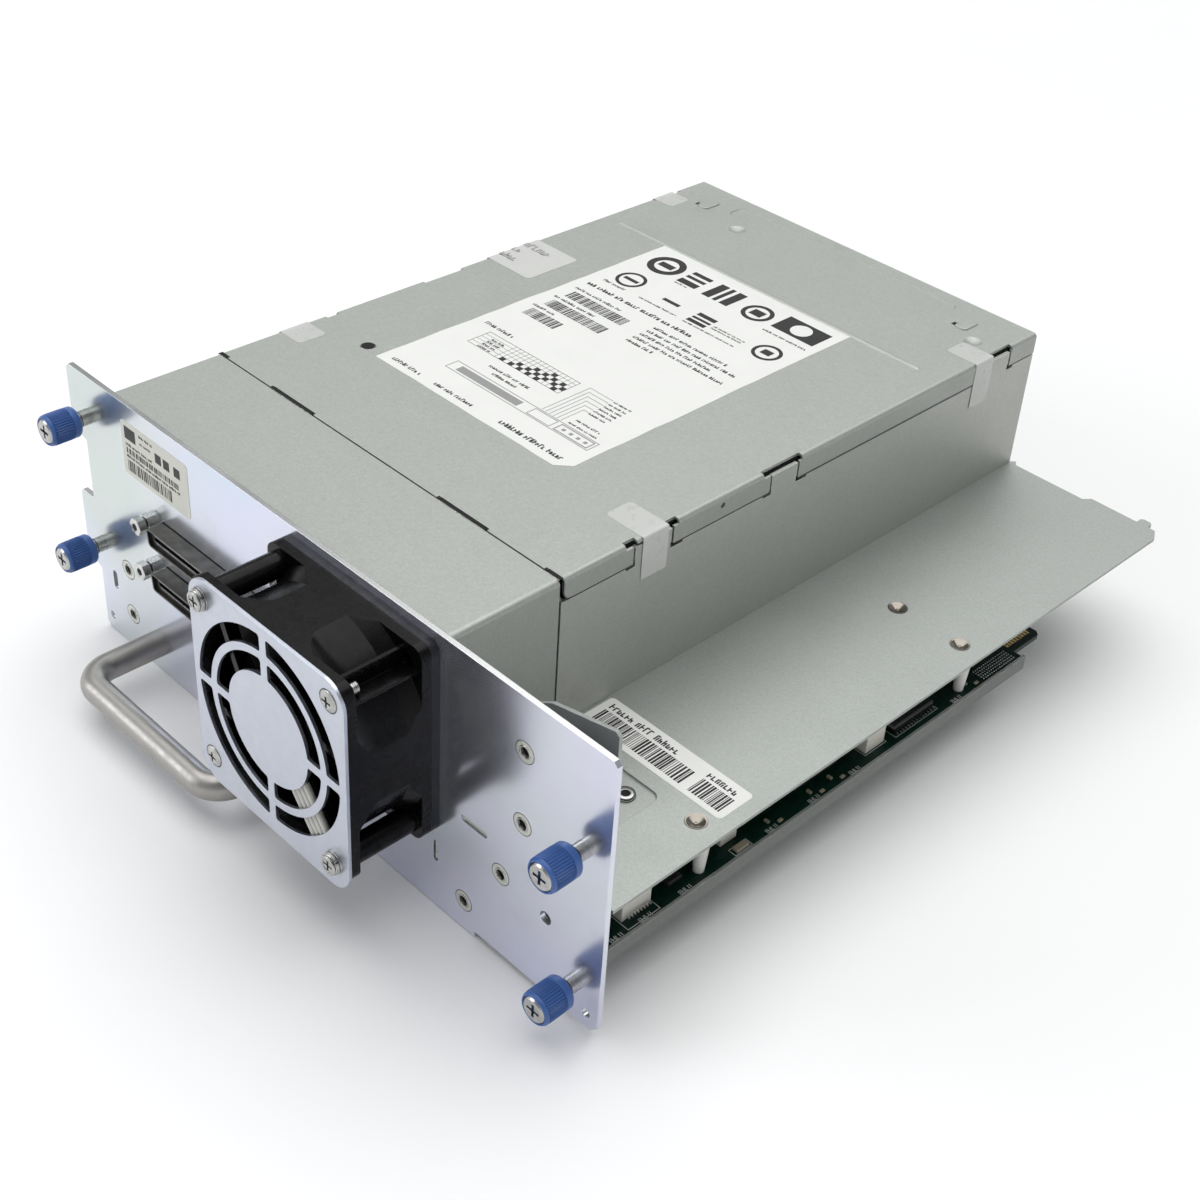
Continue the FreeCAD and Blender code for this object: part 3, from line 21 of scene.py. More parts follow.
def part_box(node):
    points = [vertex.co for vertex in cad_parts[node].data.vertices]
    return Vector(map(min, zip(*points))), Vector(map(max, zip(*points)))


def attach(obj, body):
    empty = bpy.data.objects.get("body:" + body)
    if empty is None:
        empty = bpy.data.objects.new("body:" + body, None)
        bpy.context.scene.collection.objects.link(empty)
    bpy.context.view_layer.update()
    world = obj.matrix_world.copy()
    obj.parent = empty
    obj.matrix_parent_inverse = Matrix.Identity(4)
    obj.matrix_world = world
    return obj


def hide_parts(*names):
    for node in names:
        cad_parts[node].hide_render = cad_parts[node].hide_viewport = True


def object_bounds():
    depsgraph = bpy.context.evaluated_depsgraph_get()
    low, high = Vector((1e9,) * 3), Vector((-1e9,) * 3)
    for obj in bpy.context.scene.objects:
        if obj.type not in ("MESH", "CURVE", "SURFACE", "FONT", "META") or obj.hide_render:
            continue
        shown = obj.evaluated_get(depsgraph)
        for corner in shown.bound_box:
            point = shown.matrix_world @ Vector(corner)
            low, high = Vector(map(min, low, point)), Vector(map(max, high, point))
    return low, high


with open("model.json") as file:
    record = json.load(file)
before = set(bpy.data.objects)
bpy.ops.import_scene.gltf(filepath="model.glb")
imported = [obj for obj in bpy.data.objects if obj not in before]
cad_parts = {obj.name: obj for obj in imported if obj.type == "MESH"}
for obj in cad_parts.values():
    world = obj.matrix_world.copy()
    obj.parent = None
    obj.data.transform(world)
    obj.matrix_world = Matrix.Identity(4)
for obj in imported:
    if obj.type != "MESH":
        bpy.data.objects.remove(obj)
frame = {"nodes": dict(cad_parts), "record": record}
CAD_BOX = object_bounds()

log = logging.getLogger("scene")

MM = 0.001
ROOT = "module"
RGB = tuple[float, float, float]
Point = tuple[float, float, float]
Pair = tuple[float, float]
Section = tuple[Pair, ...]
Bar = tuple[float, float, float, float]
Socket = bpy.types.NodeSocket
Inputs = dict[int | str, object]
Material = bpy.types.Material


# --- node graphs ---
def shade(colour: RGB, share: float) -> RGB:
    """A colour scaled down or up, held at white."""
    return tuple(min(1.0, c * share) for c in colour)


class Graph:
    """A material's node tree, built a node at a time from its Principled shader."""

    def __init__(self, name: str) -> None:
        """Make the material.

        Args:
            name: The material's name.
        """
        self.material = bpy.data.materials.new(name)
        self.material.use_nodes = True
        self.tree = self.material.node_tree
        self.shader = self.tree.nodes["Principled BSDF"]

    def node(self, kind: str, inputs: Inputs | None = None, **settings: object) -> bpy.types.Node:
        """Add a node.

        Args:
            kind: The node's type name, without its first part.
            inputs: Values or sockets for its inputs, by index or name.
            settings: Values for its own properties.

        Returns:
            The node.
        """
        made = self.tree.nodes.new("ShaderNode" + kind)
        for key, value in settings.items():
            setattr(made, key, value)
        for key, value in (inputs or {}).items():
            self.feed(made.inputs[key], value)
        return made

    def feed(self, socket: Socket, value: object) -> None:
        """Give an input a value, or link a socket to it.

        Args:
            socket: The input.
            value: A number, a colour, a vector or another node's output.
        """
        if isinstance(value, bpy.types.NodeSocket):
            self.tree.links.new(value, socket)
        elif isinstance(value, tuple) and len(value) == 3 and socket.type == "RGBA":
            socket.default_value = (*value, 1.0)
        else:
            socket.default_value = value

    def place(self, stretch: Point = (1.0, 1.0, 1.0), turn: Point = (0.0, 0.0, 0.0)) -> Socket:
        """Position in the row frame, in metres, scaled and then turned by degrees along x, y and z."""
        values = {"Vector": self.node("TexCoord").outputs["Object"], "Scale": stretch,
                  "Rotation": tuple(math.radians(a) for a in turn)}
        return self.node("Mapping", values).outputs[0]

    def along(self, axis: int) -> Socket:
        """Position along x, y or z, in metres."""
        return self.node("SeparateXYZ", {0: self.place()}).outputs[axis]

    def facing(self, axis: int) -> Socket:
        """How far the surface faces along x, y or z, from -1 to 1."""
        normal = self.node("NewGeometry").outputs["Normal"]
        return self.node("SeparateXYZ", {0: normal}).outputs[axis]

    def noise(self, scale: float, detail: float = 2.0, rough: float = 0.5,
              at: Socket | None = None) -> Socket:
        """Smooth noise from 0 to 1.

        Args:
            scale: Features per metre.
            detail: Octaves.
            rough: Strength of the higher octaves.
            at: Where it is read. The row frame's position if left out.

        Returns:
            The factor socket.
        """
        vector = at if at is not None else self.place()
        values = {"Vector": vector, "Scale": scale, "Detail": detail, "Roughness": rough}
        return self.node("TexNoise", values).outputs[0]

    def cells(self, scale: float) -> Socket:
        """Distance to the nearest of many scattered points, so many a metre."""
        return self.node("TexVoronoi", {"Vector": self.place(), "Scale": scale}).outputs["Distance"]

    def span(self, value: Socket, low: float, high: float, to_low: float = 0.0,
             to_high: float = 1.0) -> Socket:
        """Map the range from low to high onto another, held at its ends."""
        return self.node("MapRange", {0: value, 1: low, 2: high, 3: to_low, 4: to_high}).outputs[0]

    def times(self, a: object, b: object) -> Socket:
        """The product of two values."""
        return self.node("Math", {0: a, 1: b}, operation="MULTIPLY").outputs[0]

    def plus(self, a: object, b: object) -> Socket:
        """The sum of two values."""
        return self.node("Math", {0: a, 1: b}, operation="ADD").outputs[0]

    def blend(self, share: object, a: object, b: object) -> Socket:
        """Mix two colours, with share as how much of the second shows."""
        return self.node("Mix", {0: share, 6: a, 7: b}, data_type="RGBA").outputs[2]

    def ramp(self, share: Socket, stops: list[tuple[float, RGB]]) -> Socket:
        """A colour that runs through several stops.

        Args:
            share: Position along the ramp.
            stops: Positions with their colours.

        Returns:
            The colour socket.
        """
        made = self.node("ValToRGB", {0: share})
        ramp = made.color_ramp
        while len(ramp.elements) < len(stops):
            ramp.elements.new(0.5)
        for element, (position, colour) in zip(ramp.elements, stops):
            element.position = position
            element.color = (*colour, 1.0)
        return made.outputs[0]

    def rounded(self, radius: float) -> Socket:
        """A normal that rounds off sharp edges by a radius in metres."""
        return self.node("Bevel", {"Radius": radius}, samples=6).outputs[0]

    def edges(self, radius: float) -> Socket:
        """A mask that is 1 along sharp edges and 0 on flat faces.

        Args:
            radius: Width of the mask, in metres.

        Returns:
            The mask socket.
        """
        flat = self.node("NewGeometry").outputs["True Normal"]
        soft = self.rounded(radius)
        dot = self.node("VectorMath", {0: flat, 1: soft}, operation="DOT_PRODUCT").outputs["Value"]
        return self.span(dot, 0.985, 0.80)

    def bump(self, height: Socket, distance: float, normal: Socket | None = None,
             strength: float = 1.0) -> Socket:
        """Raise the surface by a height.

        Args:
            height: The height, from 0 to 1.
            distance: What a height of 1 stands for, in metres.
            normal: The normal it starts from.
            strength: Share of the effect.

        Returns:
            The normal socket.
        """
        values: Inputs = {"Height": height, "Distance": distance, "Strength": strength}
        if normal is not None:
            values["Normal"] = normal
        return self.node("Bump", values).outputs[0]

    def finish(self, colour: object, rough: object, metal: object = 0.0, normal: Socket | None = None,
               **others: object) -> Material:
        """Feed the shader and hand over the material.

        Args:
            colour: Base colour.
            rough: Roughness.
            metal: Metallic share.
            normal: Normal, if it isn't the surface's own.
            others: Other shader inputs, with underscores for spaces.

        Returns:
            The material.
        """
        values = {"Base Color": colour, "Roughness": rough, "Metallic": metal}
        if normal is not None:
            values["Normal"] = normal
        for key, value in (values | others).items():
            self.feed(self.shader.inputs[key.replace("_", " ")], value)
        return self.material


# --- finishes ---
EDGE_PALE = (0.80, 0.81, 0.80)


@dataclass(frozen=True)
class Sheet:
    """Dull galvanised sheet with a fine grain, faint mottling, specks and brighter edges, and painted shade
    on faces turned towards +x, heaviest near the foot.
    """

    name: str
    colour: RGB
    rough: float = 0.5
    metal: float = 0.75
    mottle: float = 0.015
    grain: float = 0.26
    pits: float = 0.085
    specks: float = 0.55
    scratch: float = 0.10
    edge_lift: float = 0.35
    # Painted shade on faces turned towards +x: its share up high, its share near the foot, and the heights in
    # metres between which it changes.
    side_shade: float = 0.10
    foot_shade: float = 0.75
    foot: Pair = (0.024, 0.021)

    def build(self) -> Material:
        """Build the finish.

        Returns:
            The material.
        """
        g = Graph(self.name)
        mottle = g.span(g.noise(38.0, 4.0, 0.6), 0.3, 0.7, -0.5, 0.5)
        grain = g.span(g.noise(1900.0, 4.0, 0.8), 0.30, 0.70, -0.5, 0.5)
        pits = g.span(g.noise(760.0, 3.0, 0.7), 0.32, 0.68, -0.5, 0.5)
        light = g.plus(g.times(mottle, self.mottle), g.times(grain, self.grain))
        light = g.plus(light, g.times(pits, self.pits))
        dark, pale = shade(self.colour, 0.55), shade(self.colour, 1.45)
        base = g.blend(g.plus(light, 0.5), dark, pale)
        specks = g.times(g.span(g.cells(430.0), 0.045, 0.02), g.span(g.noise(60.0, 1.0), 0.52, 0.60))
        base = g.blend(g.times(specks, self.specks), base, shade(dark, 0.3))
        scratch = g.span(g.noise(900.0, 1.0, 0.4, g.place((0.04, 1.0, 1.0), (0.0, 0.0, 24.0))), 0.70, 0.78)
        base = g.blend(g.times(scratch, self.scratch), base, pale)
        base = g.blend(g.times(g.edges(0.00035), self.edge_lift), base, EDGE_PALE)
        rough = g.span(g.noise(70.0, 3.0), 0.3, 0.7, self.rough - 0.04, self.rough + 0.05)
        # Painted shade: faces turned towards +x blend towards a dark copy of the colour, a little up high and
        # strongly near the foot.
        low = g.span(g.along(2), *self.foot, self.side_shade, self.foot_shade)
        side = g.times(g.span(g.facing(0), 0.6, 0.98), low)
        base = g.blend(side, base, shade(self.colour, 0.3))
        return g.finish(base, rough, self.metal, g.bump(grain, 0.000020, g.rounded(0.00022)))


@dataclass(frozen=True)
class BrightZinc:
    """Bright zinc plate with a clear passivate whose colour drifts between blue, lilac and straw, and painted
    shade on the faces that look up.
    """

    name: str
    rough: float = 0.22
    metal: float = 0.92
    film: tuple[tuple[float, RGB], ...] = (
        (0.30, (0.60, 0.71, 0.82)), (0.42, (0.68, 0.71, 0.85)), (0.54, (0.72, 0.72, 0.83)),
        (0.66, (0.70, 0.75, 0.79)), (0.78, (0.62, 0.72, 0.83)))
    straw: RGB = (0.60, 0.665, 0.615)
    # Painted shade: the plainer, dimmer grey that faces looking up blend towards.
    top_face_shade: RGB = (0.66, 0.67, 0.66)

    def build(self) -> Material:
        """Build the finish.

        Returns:
            The material.
        """
        g = Graph(self.name)
        base = g.ramp(g.noise(9.0, 3.0, 0.55, g.place((1.0, 1.0, 1.3))), list(self.film))
        left = g.span(g.along(0), -0.02, -0.09, 0.0, 0.75)
        base = g.blend(g.times(left, g.span(g.noise(14.0, 2.0), 0.40, 0.60)), base, self.straw)
        grime = g.span(g.noise(120.0, 5.0, 0.65), 0.56, 0.80, 0.0, 0.22)
        base = g.blend(grime, base, (0.42, 0.44, 0.46))
        specks = g.times(g.span(g.cells(300.0), 0.035, 0.015), g.span(g.noise(45.0, 1.0), 0.56, 0.62))
        base = g.blend(g.times(specks, 0.6), base, (0.12, 0.12, 0.12))
        rough = g.span(g.noise(26.0, 2.0, 0.5), 0.3, 0.72, self.rough - 0.03, self.rough + 0.05)
        hair = g.span(g.noise(500.0, 1.0, 0.4, g.place((0.05, 1.0, 1.0), (0.0, 38.0, 0.0))), 0.72, 0.80)
        base = g.blend(g.times(hair, 0.12), base, (0.80, 0.80, 0.82))
        base = g.blend(g.times(g.edges(0.0003), 0.3), base, (0.80, 0.81, 0.82))
        # Painted shade: faces that look up blend towards a plainer, dimmer grey, to hold down the glare from
        # above.
        base = g.blend(g.span(g.facing(2), 0.6, 0.95), base, self.top_face_shade)
        return g.finish(base, rough, self.metal, g.rounded(0.0002))


@dataclass(frozen=True)
class Metal:
    """A plain machined, drawn or plated metal."""

    name: str
    colour: RGB
    rough: float = 0.3
    metal: float = 1.0
    stain: float = 0.12
    edge: float = 0.00015

    def build(self) -> Material:
        """Build the finish.

        Returns:
            The material.
        """
        g = Graph(self.name)
        cloud = g.span(g.noise(240.0, 4.0, 0.6), 0.35, 0.75, 0.0, self.stain)
        base = g.blend(cloud, self.colour, shade(self.colour, 0.35))
        rough = g.span(g.noise(500.0, 3.0), 0.3, 0.7, self.rough - 0.05, self.rough + 0.07)
        normal = g.bump(g.noise(3000.0, 2.0), 0.000006, g.rounded(self.edge), 0.5)
        return g.finish(base, rough, self.metal, normal)


@dataclass(frozen=True)
class Moulding:
    """Moulded plastic with a fine texture and, where asked, dust on what faces up."""

    name: str
    colour: RGB
    rough: float = 0.45
    dust: float = 0.0
    texture: float = 0.00003
    edge: float = 0.0002
    specular: float = 0.5
    dust_colour: RGB = (0.34, 0.33, 0.31)

    def build(self) -> Material:
        """Build the finish.

        Returns:
            The material.
        """
        g = Graph(self.name)
        cloud = g.span(g.noise(160.0, 3.0), 0.3, 0.7, 0.0, 0.15)
        base = g.blend(cloud, self.colour, shade(self.colour, 0.6))
        rough: object = g.span(g.noise(330.0, 3.0), 0.3, 0.7, self.rough - 0.05, self.rough + 0.07)
        if self.dust:
            patch = g.times(g.span(g.noise(210.0, 6.0, 0.7), 0.42, 0.72), 0.12)
            crumbs = g.times(g.span(g.cells(900.0), 0.16, 0.08), g.span(g.noise(90.0, 2.0), 0.5, 0.62))
            lying = g.times(g.span(g.facing(2), 0.1, 0.9), g.plus(patch, crumbs))
            lying = g.times(lying, self.dust)
            base = g.blend(lying, base, self.dust_colour)
            rough = g.plus(rough, g.times(lying, 0.35))
        normal = g.bump(g.noise(2400.0, 2.0), self.texture, g.rounded(self.edge), 0.6)
        return g.finish(base, rough, 0.0, normal, Specular_IOR_Level=self.specular)


@dataclass(frozen=True)
class Print:
    """Paper, film or ink: matt, with a faint cloud so that it isn't one flat colour."""

    name: str
    colour: RGB
    rough: float = 0.5
    cloud: float = 0.06
    alpha: float = 1.0
    sheen: float = 0.3

    def build(self) -> Material:
        """Build the finish.

        Returns:
            The material.
        """
        g = Graph(self.name)
        share = g.span(g.noise(90.0, 4.0, 0.6), 0.3, 0.7, 0.0, self.cloud * 2)
        base = g.blend(share, self.colour, shade(self.colour, 0.7))
        normal = g.bump(g.noise(1400.0, 2.0), 0.00001)
        rough = g.span(g.noise(300.0, 2.0), 0.3, 0.7, self.rough - 0.05, self.rough + 0.05)
        return g.finish(base, rough, 0.0, normal, Alpha=self.alpha, Specular_IOR_Level=self.sheen)


@dataclass(frozen=True)
class Board:
    """Solder resist over copper: dark green with tracks and planes that show faintly through."""

    name: str
    colour: RGB
    track: RGB

    def build(self) -> Material:
        """Build the finish.

        Returns:
            The material.
        """
        g = Graph(self.name)
        lanes = g.node("TexVoronoi", {"Vector": g.place((1.0, 0.35, 1.0)), "Scale": 420.0},
                       distance="CHEBYCHEV", feature="DISTANCE_TO_EDGE").outputs["Distance"]
        tracks = g.span(lanes, 0.10, 0.05)
        base = g.blend(g.times(tracks, 0.55), self.colour, self.track)
        base = g.blend(g.times(g.span(g.noise(28.0, 2.0), 0.48, 0.50), 0.30), base, self.track)
        rough = g.span(g.noise(200.0, 2.0), 0.3, 0.7, 0.30, 0.40)
        return g.finish(base, rough, 0.0, g.bump(tracks, 0.00004, g.rounded(0.0001), 0.5),
                        Specular_IOR_Level=0.2)


@dataclass(frozen=True)
class Turned:
    """Steel with the fine rings of a lathe tool, whose gloss runs out from the middle."""

    name: str
    colour: RGB
    rough: float = 0.20

    def build(self) -> Material:
        """Build the finish.

        Returns:
            The material.
        """
        g = Graph(self.name)
        tangent = g.node("Tangent", direction_type="RADIAL", axis="Z").outputs[0]
        cloud = g.span(g.noise(300.0, 3.0), 0.3, 0.7, 0.0, 0.3)
        base = g.blend(cloud, self.colour, shade(self.colour, 0.6))
        return g.finish(base, self.rough, 1.0, None, Anisotropic=0.55, Tangent=tangent)


MAKERS = (
    BrightZinc("panel_zinc"),
    Metal("guard_zinc", (0.56, 0.59, 0.66), 0.34, 0.95, 0.10),
    Metal("screw_zinc", (0.52, 0.52, 0.50), 0.24, 1.0, 0.5, 0.0003),
    Sheet("grey_steel", (0.400, 0.419, 0.390)),
    Sheet("tub_steel", (0.455, 0.472, 0.436), 0.48),
    Sheet("wing_steel", (0.385, 0.407, 0.385), 0.48),
    Metal("handle_aluminium", (0.38, 0.367, 0.348), 0.40, 0.95, 0.06),
    Moulding("knob_blue", (0.040, 0.113, 0.345), 0.36, 0.0, 0.00002),
    Moulding("fan_black", (0.0020, 0.0020, 0.0021), 0.25, 0.07, specular=0.15),
    Moulding("rotor_black", (0.004, 0.004, 0.004), 0.34, specular=0.25),
    Moulding("adaptor_grey", (0.004, 0.006, 0.009), 0.36, 0.6, specular=0.25),
    Moulding("wire_sleeve", (0.55, 0.54, 0.50), 0.4),
    Metal("shell_bronze", (0.130, 0.125, 0.112), 0.36, 1.0, 0.7),
    Moulding("insert_black", (0.012, 0.012, 0.012), 0.45),
    Metal("jack_steel", (0.62, 0.62, 0.60), 0.24),
    Board("board_green", (0.001, 0.012, 0.008), (0.002, 0.028, 0.017)),
    Moulding("connector_white", (0.66, 0.65, 0.58), 0.4),
    Moulding("chip_black", (0.018, 0.018, 0.019), 0.5),
    Moulding("post_white", (0.66, 0.66, 0.62), 0.4),
    Moulding("bezel_black", (0.02, 0.02, 0.022), 0.45),
    Moulding("door_grey", (0.04, 0.04, 0.045), 0.5),
    Metal("cast_alloy", (0.46, 0.46, 0.46), 0.5, 0.9),
    Metal("motor_steel", (0.10, 0.10, 0.11), 0.35),
    Metal("hub_steel", (0.56, 0.56, 0.56), 0.28),
    Moulding("reel_white", (0.70, 0.70, 0.68), 0.3),
    Metal("roller_steel", (0.78, 0.78, 0.78), 0.14),
    Metal("post_steel", (0.60, 0.60, 0.60), 0.22),
    Metal("head_alloy", (0.42, 0.42, 0.43), 0.35),
    Metal("magnet_iron", (0.22, 0.22, 0.23), 0.35),
    Metal("arm_steel", (0.52, 0.52, 0.52), 0.3),
    Sheet("carriage_steel", (0.44, 0.45, 0.43)),
    Print("label_paper", (0.79, 0.795, 0.765), 0.45),
    Print("label_film", (0.62, 0.62, 0.56), 0.38),
    Print("ink_black", (0.02, 0.02, 0.02), 0.45),
    Print("ink_grey", (0.30, 0.30, 0.30), 0.45),
    Print("seal_film", (0.58, 0.585, 0.56), 0.42),
    Print("tape_film", (0.68, 0.69, 0.66), 0.3, 0.05, 0.78, 0.5),
    Print("silk_white", (0.50, 0.52, 0.49), 0.5),
    Metal("gold", (0.80, 0.58, 0.26), 0.25),
    Metal("solder", (0.62, 0.63, 0.64), 0.3),
    Metal("contact_tin", (0.50, 0.50, 0.50), 0.3),
    Metal("ring_plate", (0.66, 0.67, 0.60), 0.3, 0.9, 0.1),
    # Painted shade: a dark grey for crevices, grooves and the line under the cover's lips.
    Print("groove_grey", (0.06, 0.06, 0.065), 0.5),
    Moulding("chip_grey", (0.16, 0.165, 0.165), 0.6),
    Moulding("part_beige", (0.30, 0.27, 0.20), 0.5),
    Turned("turned_steel", (0.27, 0.25, 0.215)),
    Print("shadow_black", (0.006, 0.006, 0.006), 0.7),
)


# --- meshes ---
X, Y, Z = Vector((1, 0, 0)), Vector((0, 1, 0)), Vector((0, 0, 1))


def around(axis: Vector) -> tuple[Vector, Vector]:
    """Two directions square to an axis that lies in the plane x = 0, the first of them x."""
    return X, axis.cross(X)


def band(inner: float, outer: float, start: float, end: float) -> Section:
    """The section of a plain ring, between two radii and two distances along its axis."""
    return (inner, start), (outer, start), (outer, end), (inner, end)


def rod(radius: float, start: float, end: float) -> Section:
    """The profile of a plain rod, between two distances along its axis."""
    return (radius, start), (radius, end)


class Solid:
    """A mesh that is gathered from simple forms and then placed on a body."""

    def __init__(self) -> None:
        """Start empty."""
        self.bm = bmesh.new()

    def joined(self, loops: list[list[bmesh.types.BMVert]], closed: bool) -> "Solid":
        """Join rows of corners by faces.

        Args:
            loops: The rows, each a closed loop of as many corners.
            closed: Whether the last row joins the first. If not, both end rows get a face.

        Returns:
            This solid.
        """
        for a, b in zip(loops, loops[1:] + loops[:1] if closed else loops[1:]):
            for k in range(len(a)):
                n = (k + 1) % len(a)
                self.bm.faces.new((a[k], a[n], b[n], b[k]))
        if not closed:
            self.bm.faces.new(loops[0])
            self.bm.faces.new(loops[-1])
        return self

    def block(self, low: Vector, high: Vector) -> "Solid":
        """Add a box.

        Args:
            low: Lowest corner.
            high: Highest corner.

        Returns:
            This solid.
        """
        place = Matrix.Translation((low + high) / 2) @ Matrix.Diagonal((*(high - low), 1))
        bmesh.ops.create_cube(self.bm, size=1.0, matrix=place)
        return self

    def turned(self, centre: Vector, axis: Vector, profile: Section, segments: int = 48,
               ribs: int = 0, rib_height: float = 0.0, rib_rows: tuple[int, int] = (0, 0)) -> "Solid":
        """Add a turned piece with flat ends.

        Args:
            centre: A point on its axis, where the profile's distance is 0.
            axis: Direction of the axis.
            profile: Radius and distance along the axis for each ring.
            segments: Sides of the circle.
            ribs: Number of ribs round it, if any.
            rib_height: How far each rib stands out.
            rib_rows: First and last ring that the ribs reach.

        Returns:
            This solid.
        """
        side, up = around(axis)
        rings = []
        for row, (radius, along) in enumerate(profile):
            ring = []
            for i in range(segments):
                angle = 2 * math.pi * i / segments
                ribbed = ribs and rib_rows[0] <= row <= rib_rows[1]
                reach = radius + (rib_height * (0.5 + 0.5 * math.cos(angle * ribs)) if ribbed else 0.0)
                out = side * math.cos(angle) + up * math.sin(angle)
                ring.append(self.bm.verts.new(centre + (axis * along + out * reach) * MM))
            rings.append(ring)
        return self.joined(rings, closed=False)

    def ring(self, centre: Vector, axis: Vector, section: Section, segments: int = 56) -> "Solid":
        """Add a ring.

        Args:
            centre: A point on its axis.
            axis: Direction of the axis.
            section: Radius and distance along the axis of each corner of its section.
            segments: Sides of the circle.

        Returns:
            This solid.
        """
        side, up = around(axis)
        loops = []
        for i in range(segments):
            angle = 2 * math.pi * i / segments
            out = side * math.cos(angle) + up * math.sin(angle)
            loops.append([self.bm.verts.new(centre + (axis * along + out * radius) * MM)
                          for radius, along in section])
        return self.joined(loops, closed=True)

    def tube(self, path: list[Vector], radius: float, segments: int = 48) -> "Solid":
        """Add a round bar along a path that lies in a level plane.

        Args:
            path: Points of its centre line.
            radius: Its radius.
            segments: Sides of its section.

        Returns:
            This solid.
        """
        rings = []
        for i, point in enumerate(path):
            ahead = path[min(i + 1, len(path) - 1)] - path[max(i - 1, 0)]
            side = Vector((-ahead.y, ahead.x, 0)).normalized()
            ring = []
            for k in range(segments):
                angle = 2 * math.pi * k / segments
                out = side * math.cos(angle) + Z * math.sin(angle)
                ring.append(self.bm.verts.new(point + out * radius * MM))
            rings.append(ring)
        return self.joined(rings, closed=False)

    def strip(self, path: list[Vector], across: Vector, halves: list[float], thick: float) -> "Solid":
        """Add a thin strip that follows a path.

        Args:
            path: Points of its middle line.
            across: Direction of its width.
            halves: Half its width at each point.
            thick: Its thickness. The sign chooses the side.

        Returns:
            This solid.
        """
        rows = []
        for i, (point, half) in enumerate(zip(path, halves)):
            along = (path[min(i + 1, len(path) - 1)] - path[max(i - 1, 0)]).normalized()
            out = along.cross(across) * thick * MM
            shift = across * half * MM
            corners = (point - shift, point + shift, point + shift + out, point - shift + out)
            rows.append([self.bm.verts.new(c) for c in corners])
        return self.joined(rows, closed=False)

    def patch(self, flat: "Flat", outline: Sequence[Pair], lift: float, thick: float) -> "Solid":
        """Add a thin piece that lies on a face.

        Args:
            flat: The face.
            outline: Its corners on the face, in order.
            lift: Height it starts at.
            thick: Its thickness.

        Returns:
            This solid.
        """
        low = [flat.at(u, v, lift) for u, v in outline]
        rows = [[self.bm.verts.new(p + out) for p in low] for out in (Vector(), flat.out * thick * MM)]
        return self.joined(rows, closed=False)

    def bar(self, flat: "Flat", bar: Bar, lift: float, thick: float) -> "Solid":
        """Add a thin rectangle that lies on a face."""
        u0, v0, u1, v1 = bar
        return self.patch(flat, [(u0, v0), (u1, v0), (u1, v1), (u0, v1)], lift, thick)

    def place(self, name: str, finish: Material, body: str = ROOT, slot: str | None = None,
              replaces: tuple[str, ...] = (), bevel: float = 0.0, smooth: float = 35.0) -> None:
        """Turn the gathered mesh into a piece.

        Args:
            name: The piece's name.
            finish: Its material.
            body: The body it rides on.
            slot: Not used.
            replaces: CAD nodes it stands for.
            bevel: Width of its rounded edges, in metres.
            smooth: Edges flatter than this many degrees are shaded smooth.
        """
        bmesh.ops.recalc_face_normals(self.bm, faces=self.bm.faces)
        mesh = bpy.data.meshes.new(name)
        self.bm.to_mesh(mesh)
        self.bm.free()
        mesh.materials.append(finish)
        made = bpy.data.objects.new(name, mesh)
        bpy.context.scene.collection.objects.link(made)
        mesh.shade_smooth()
        mesh.set_sharp_from_angle(angle=math.radians(smooth))
        if bevel:
            modifier = made.modifiers.new("bevel", "BEVEL")
            modifier.width = bevel
            modifier.segments = 2
            modifier.limit_method = "ANGLE"
        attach(made, body)
        if replaces:
            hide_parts(*replaces)


# --- flat prints ---
PANEL_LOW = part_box("front_panel")[0]
COVER_TOP, SHELF_TOP, BOARD_TOP, SIDE_FACE = 83.4, 35.4, 20.5, 160.0
FILM = 0.07
INK = 0.03


def spot(x: float, y: float, z: float) -> Vector:
    """The row frame's point so far right of the panel's edge, behind its front and above the underside."""
    return Vector((PANEL_LOW.x + x * MM, PANEL_LOW.y + y * MM, CAD_BOX[0].z + z * MM))


@dataclass(frozen=True)
class Flat:
    """A flat face that films and prints lie on, measured across and up it."""

    corner: Vector
    across: Vector
    up: Vector

    @property
    def out(self) -> Vector:
        """The direction away from the face."""
        return self.across.cross(self.up)

    def at(self, u: float, v: float, lift: float = 0.0) -> Vector:
        """The point so far across, up and away from the face's corner."""
        return self.corner + (self.across * u + self.up * v + self.out * lift) * MM


ON_COVER = Flat(spot(0, 0, COVER_TOP), X, Y)
ON_SHELF = Flat(spot(0, 0, SHELF_TOP), X, Y)
ON_BOARD = Flat(spot(0, 0, BOARD_TOP), X, Y)
ON_PANEL = Flat(spot(0, 0, 0), X, Z)
ON_SIDE = Flat(spot(SIDE_FACE, 0, 0), Y, Z)


def framed(bar: Bar, w: float) -> list[Bar]:
    """The four bars of an outlined rectangle, with lines of width w."""
    u0, v0, u1, v1 = bar
    return [(u0, v0, u1, v0 + w), (u0, v1 - w, u1, v1), (u0, v0 + w, u0 + w, v1 - w),
            (u1 - w, v0 + w, u1, v1 - w)]


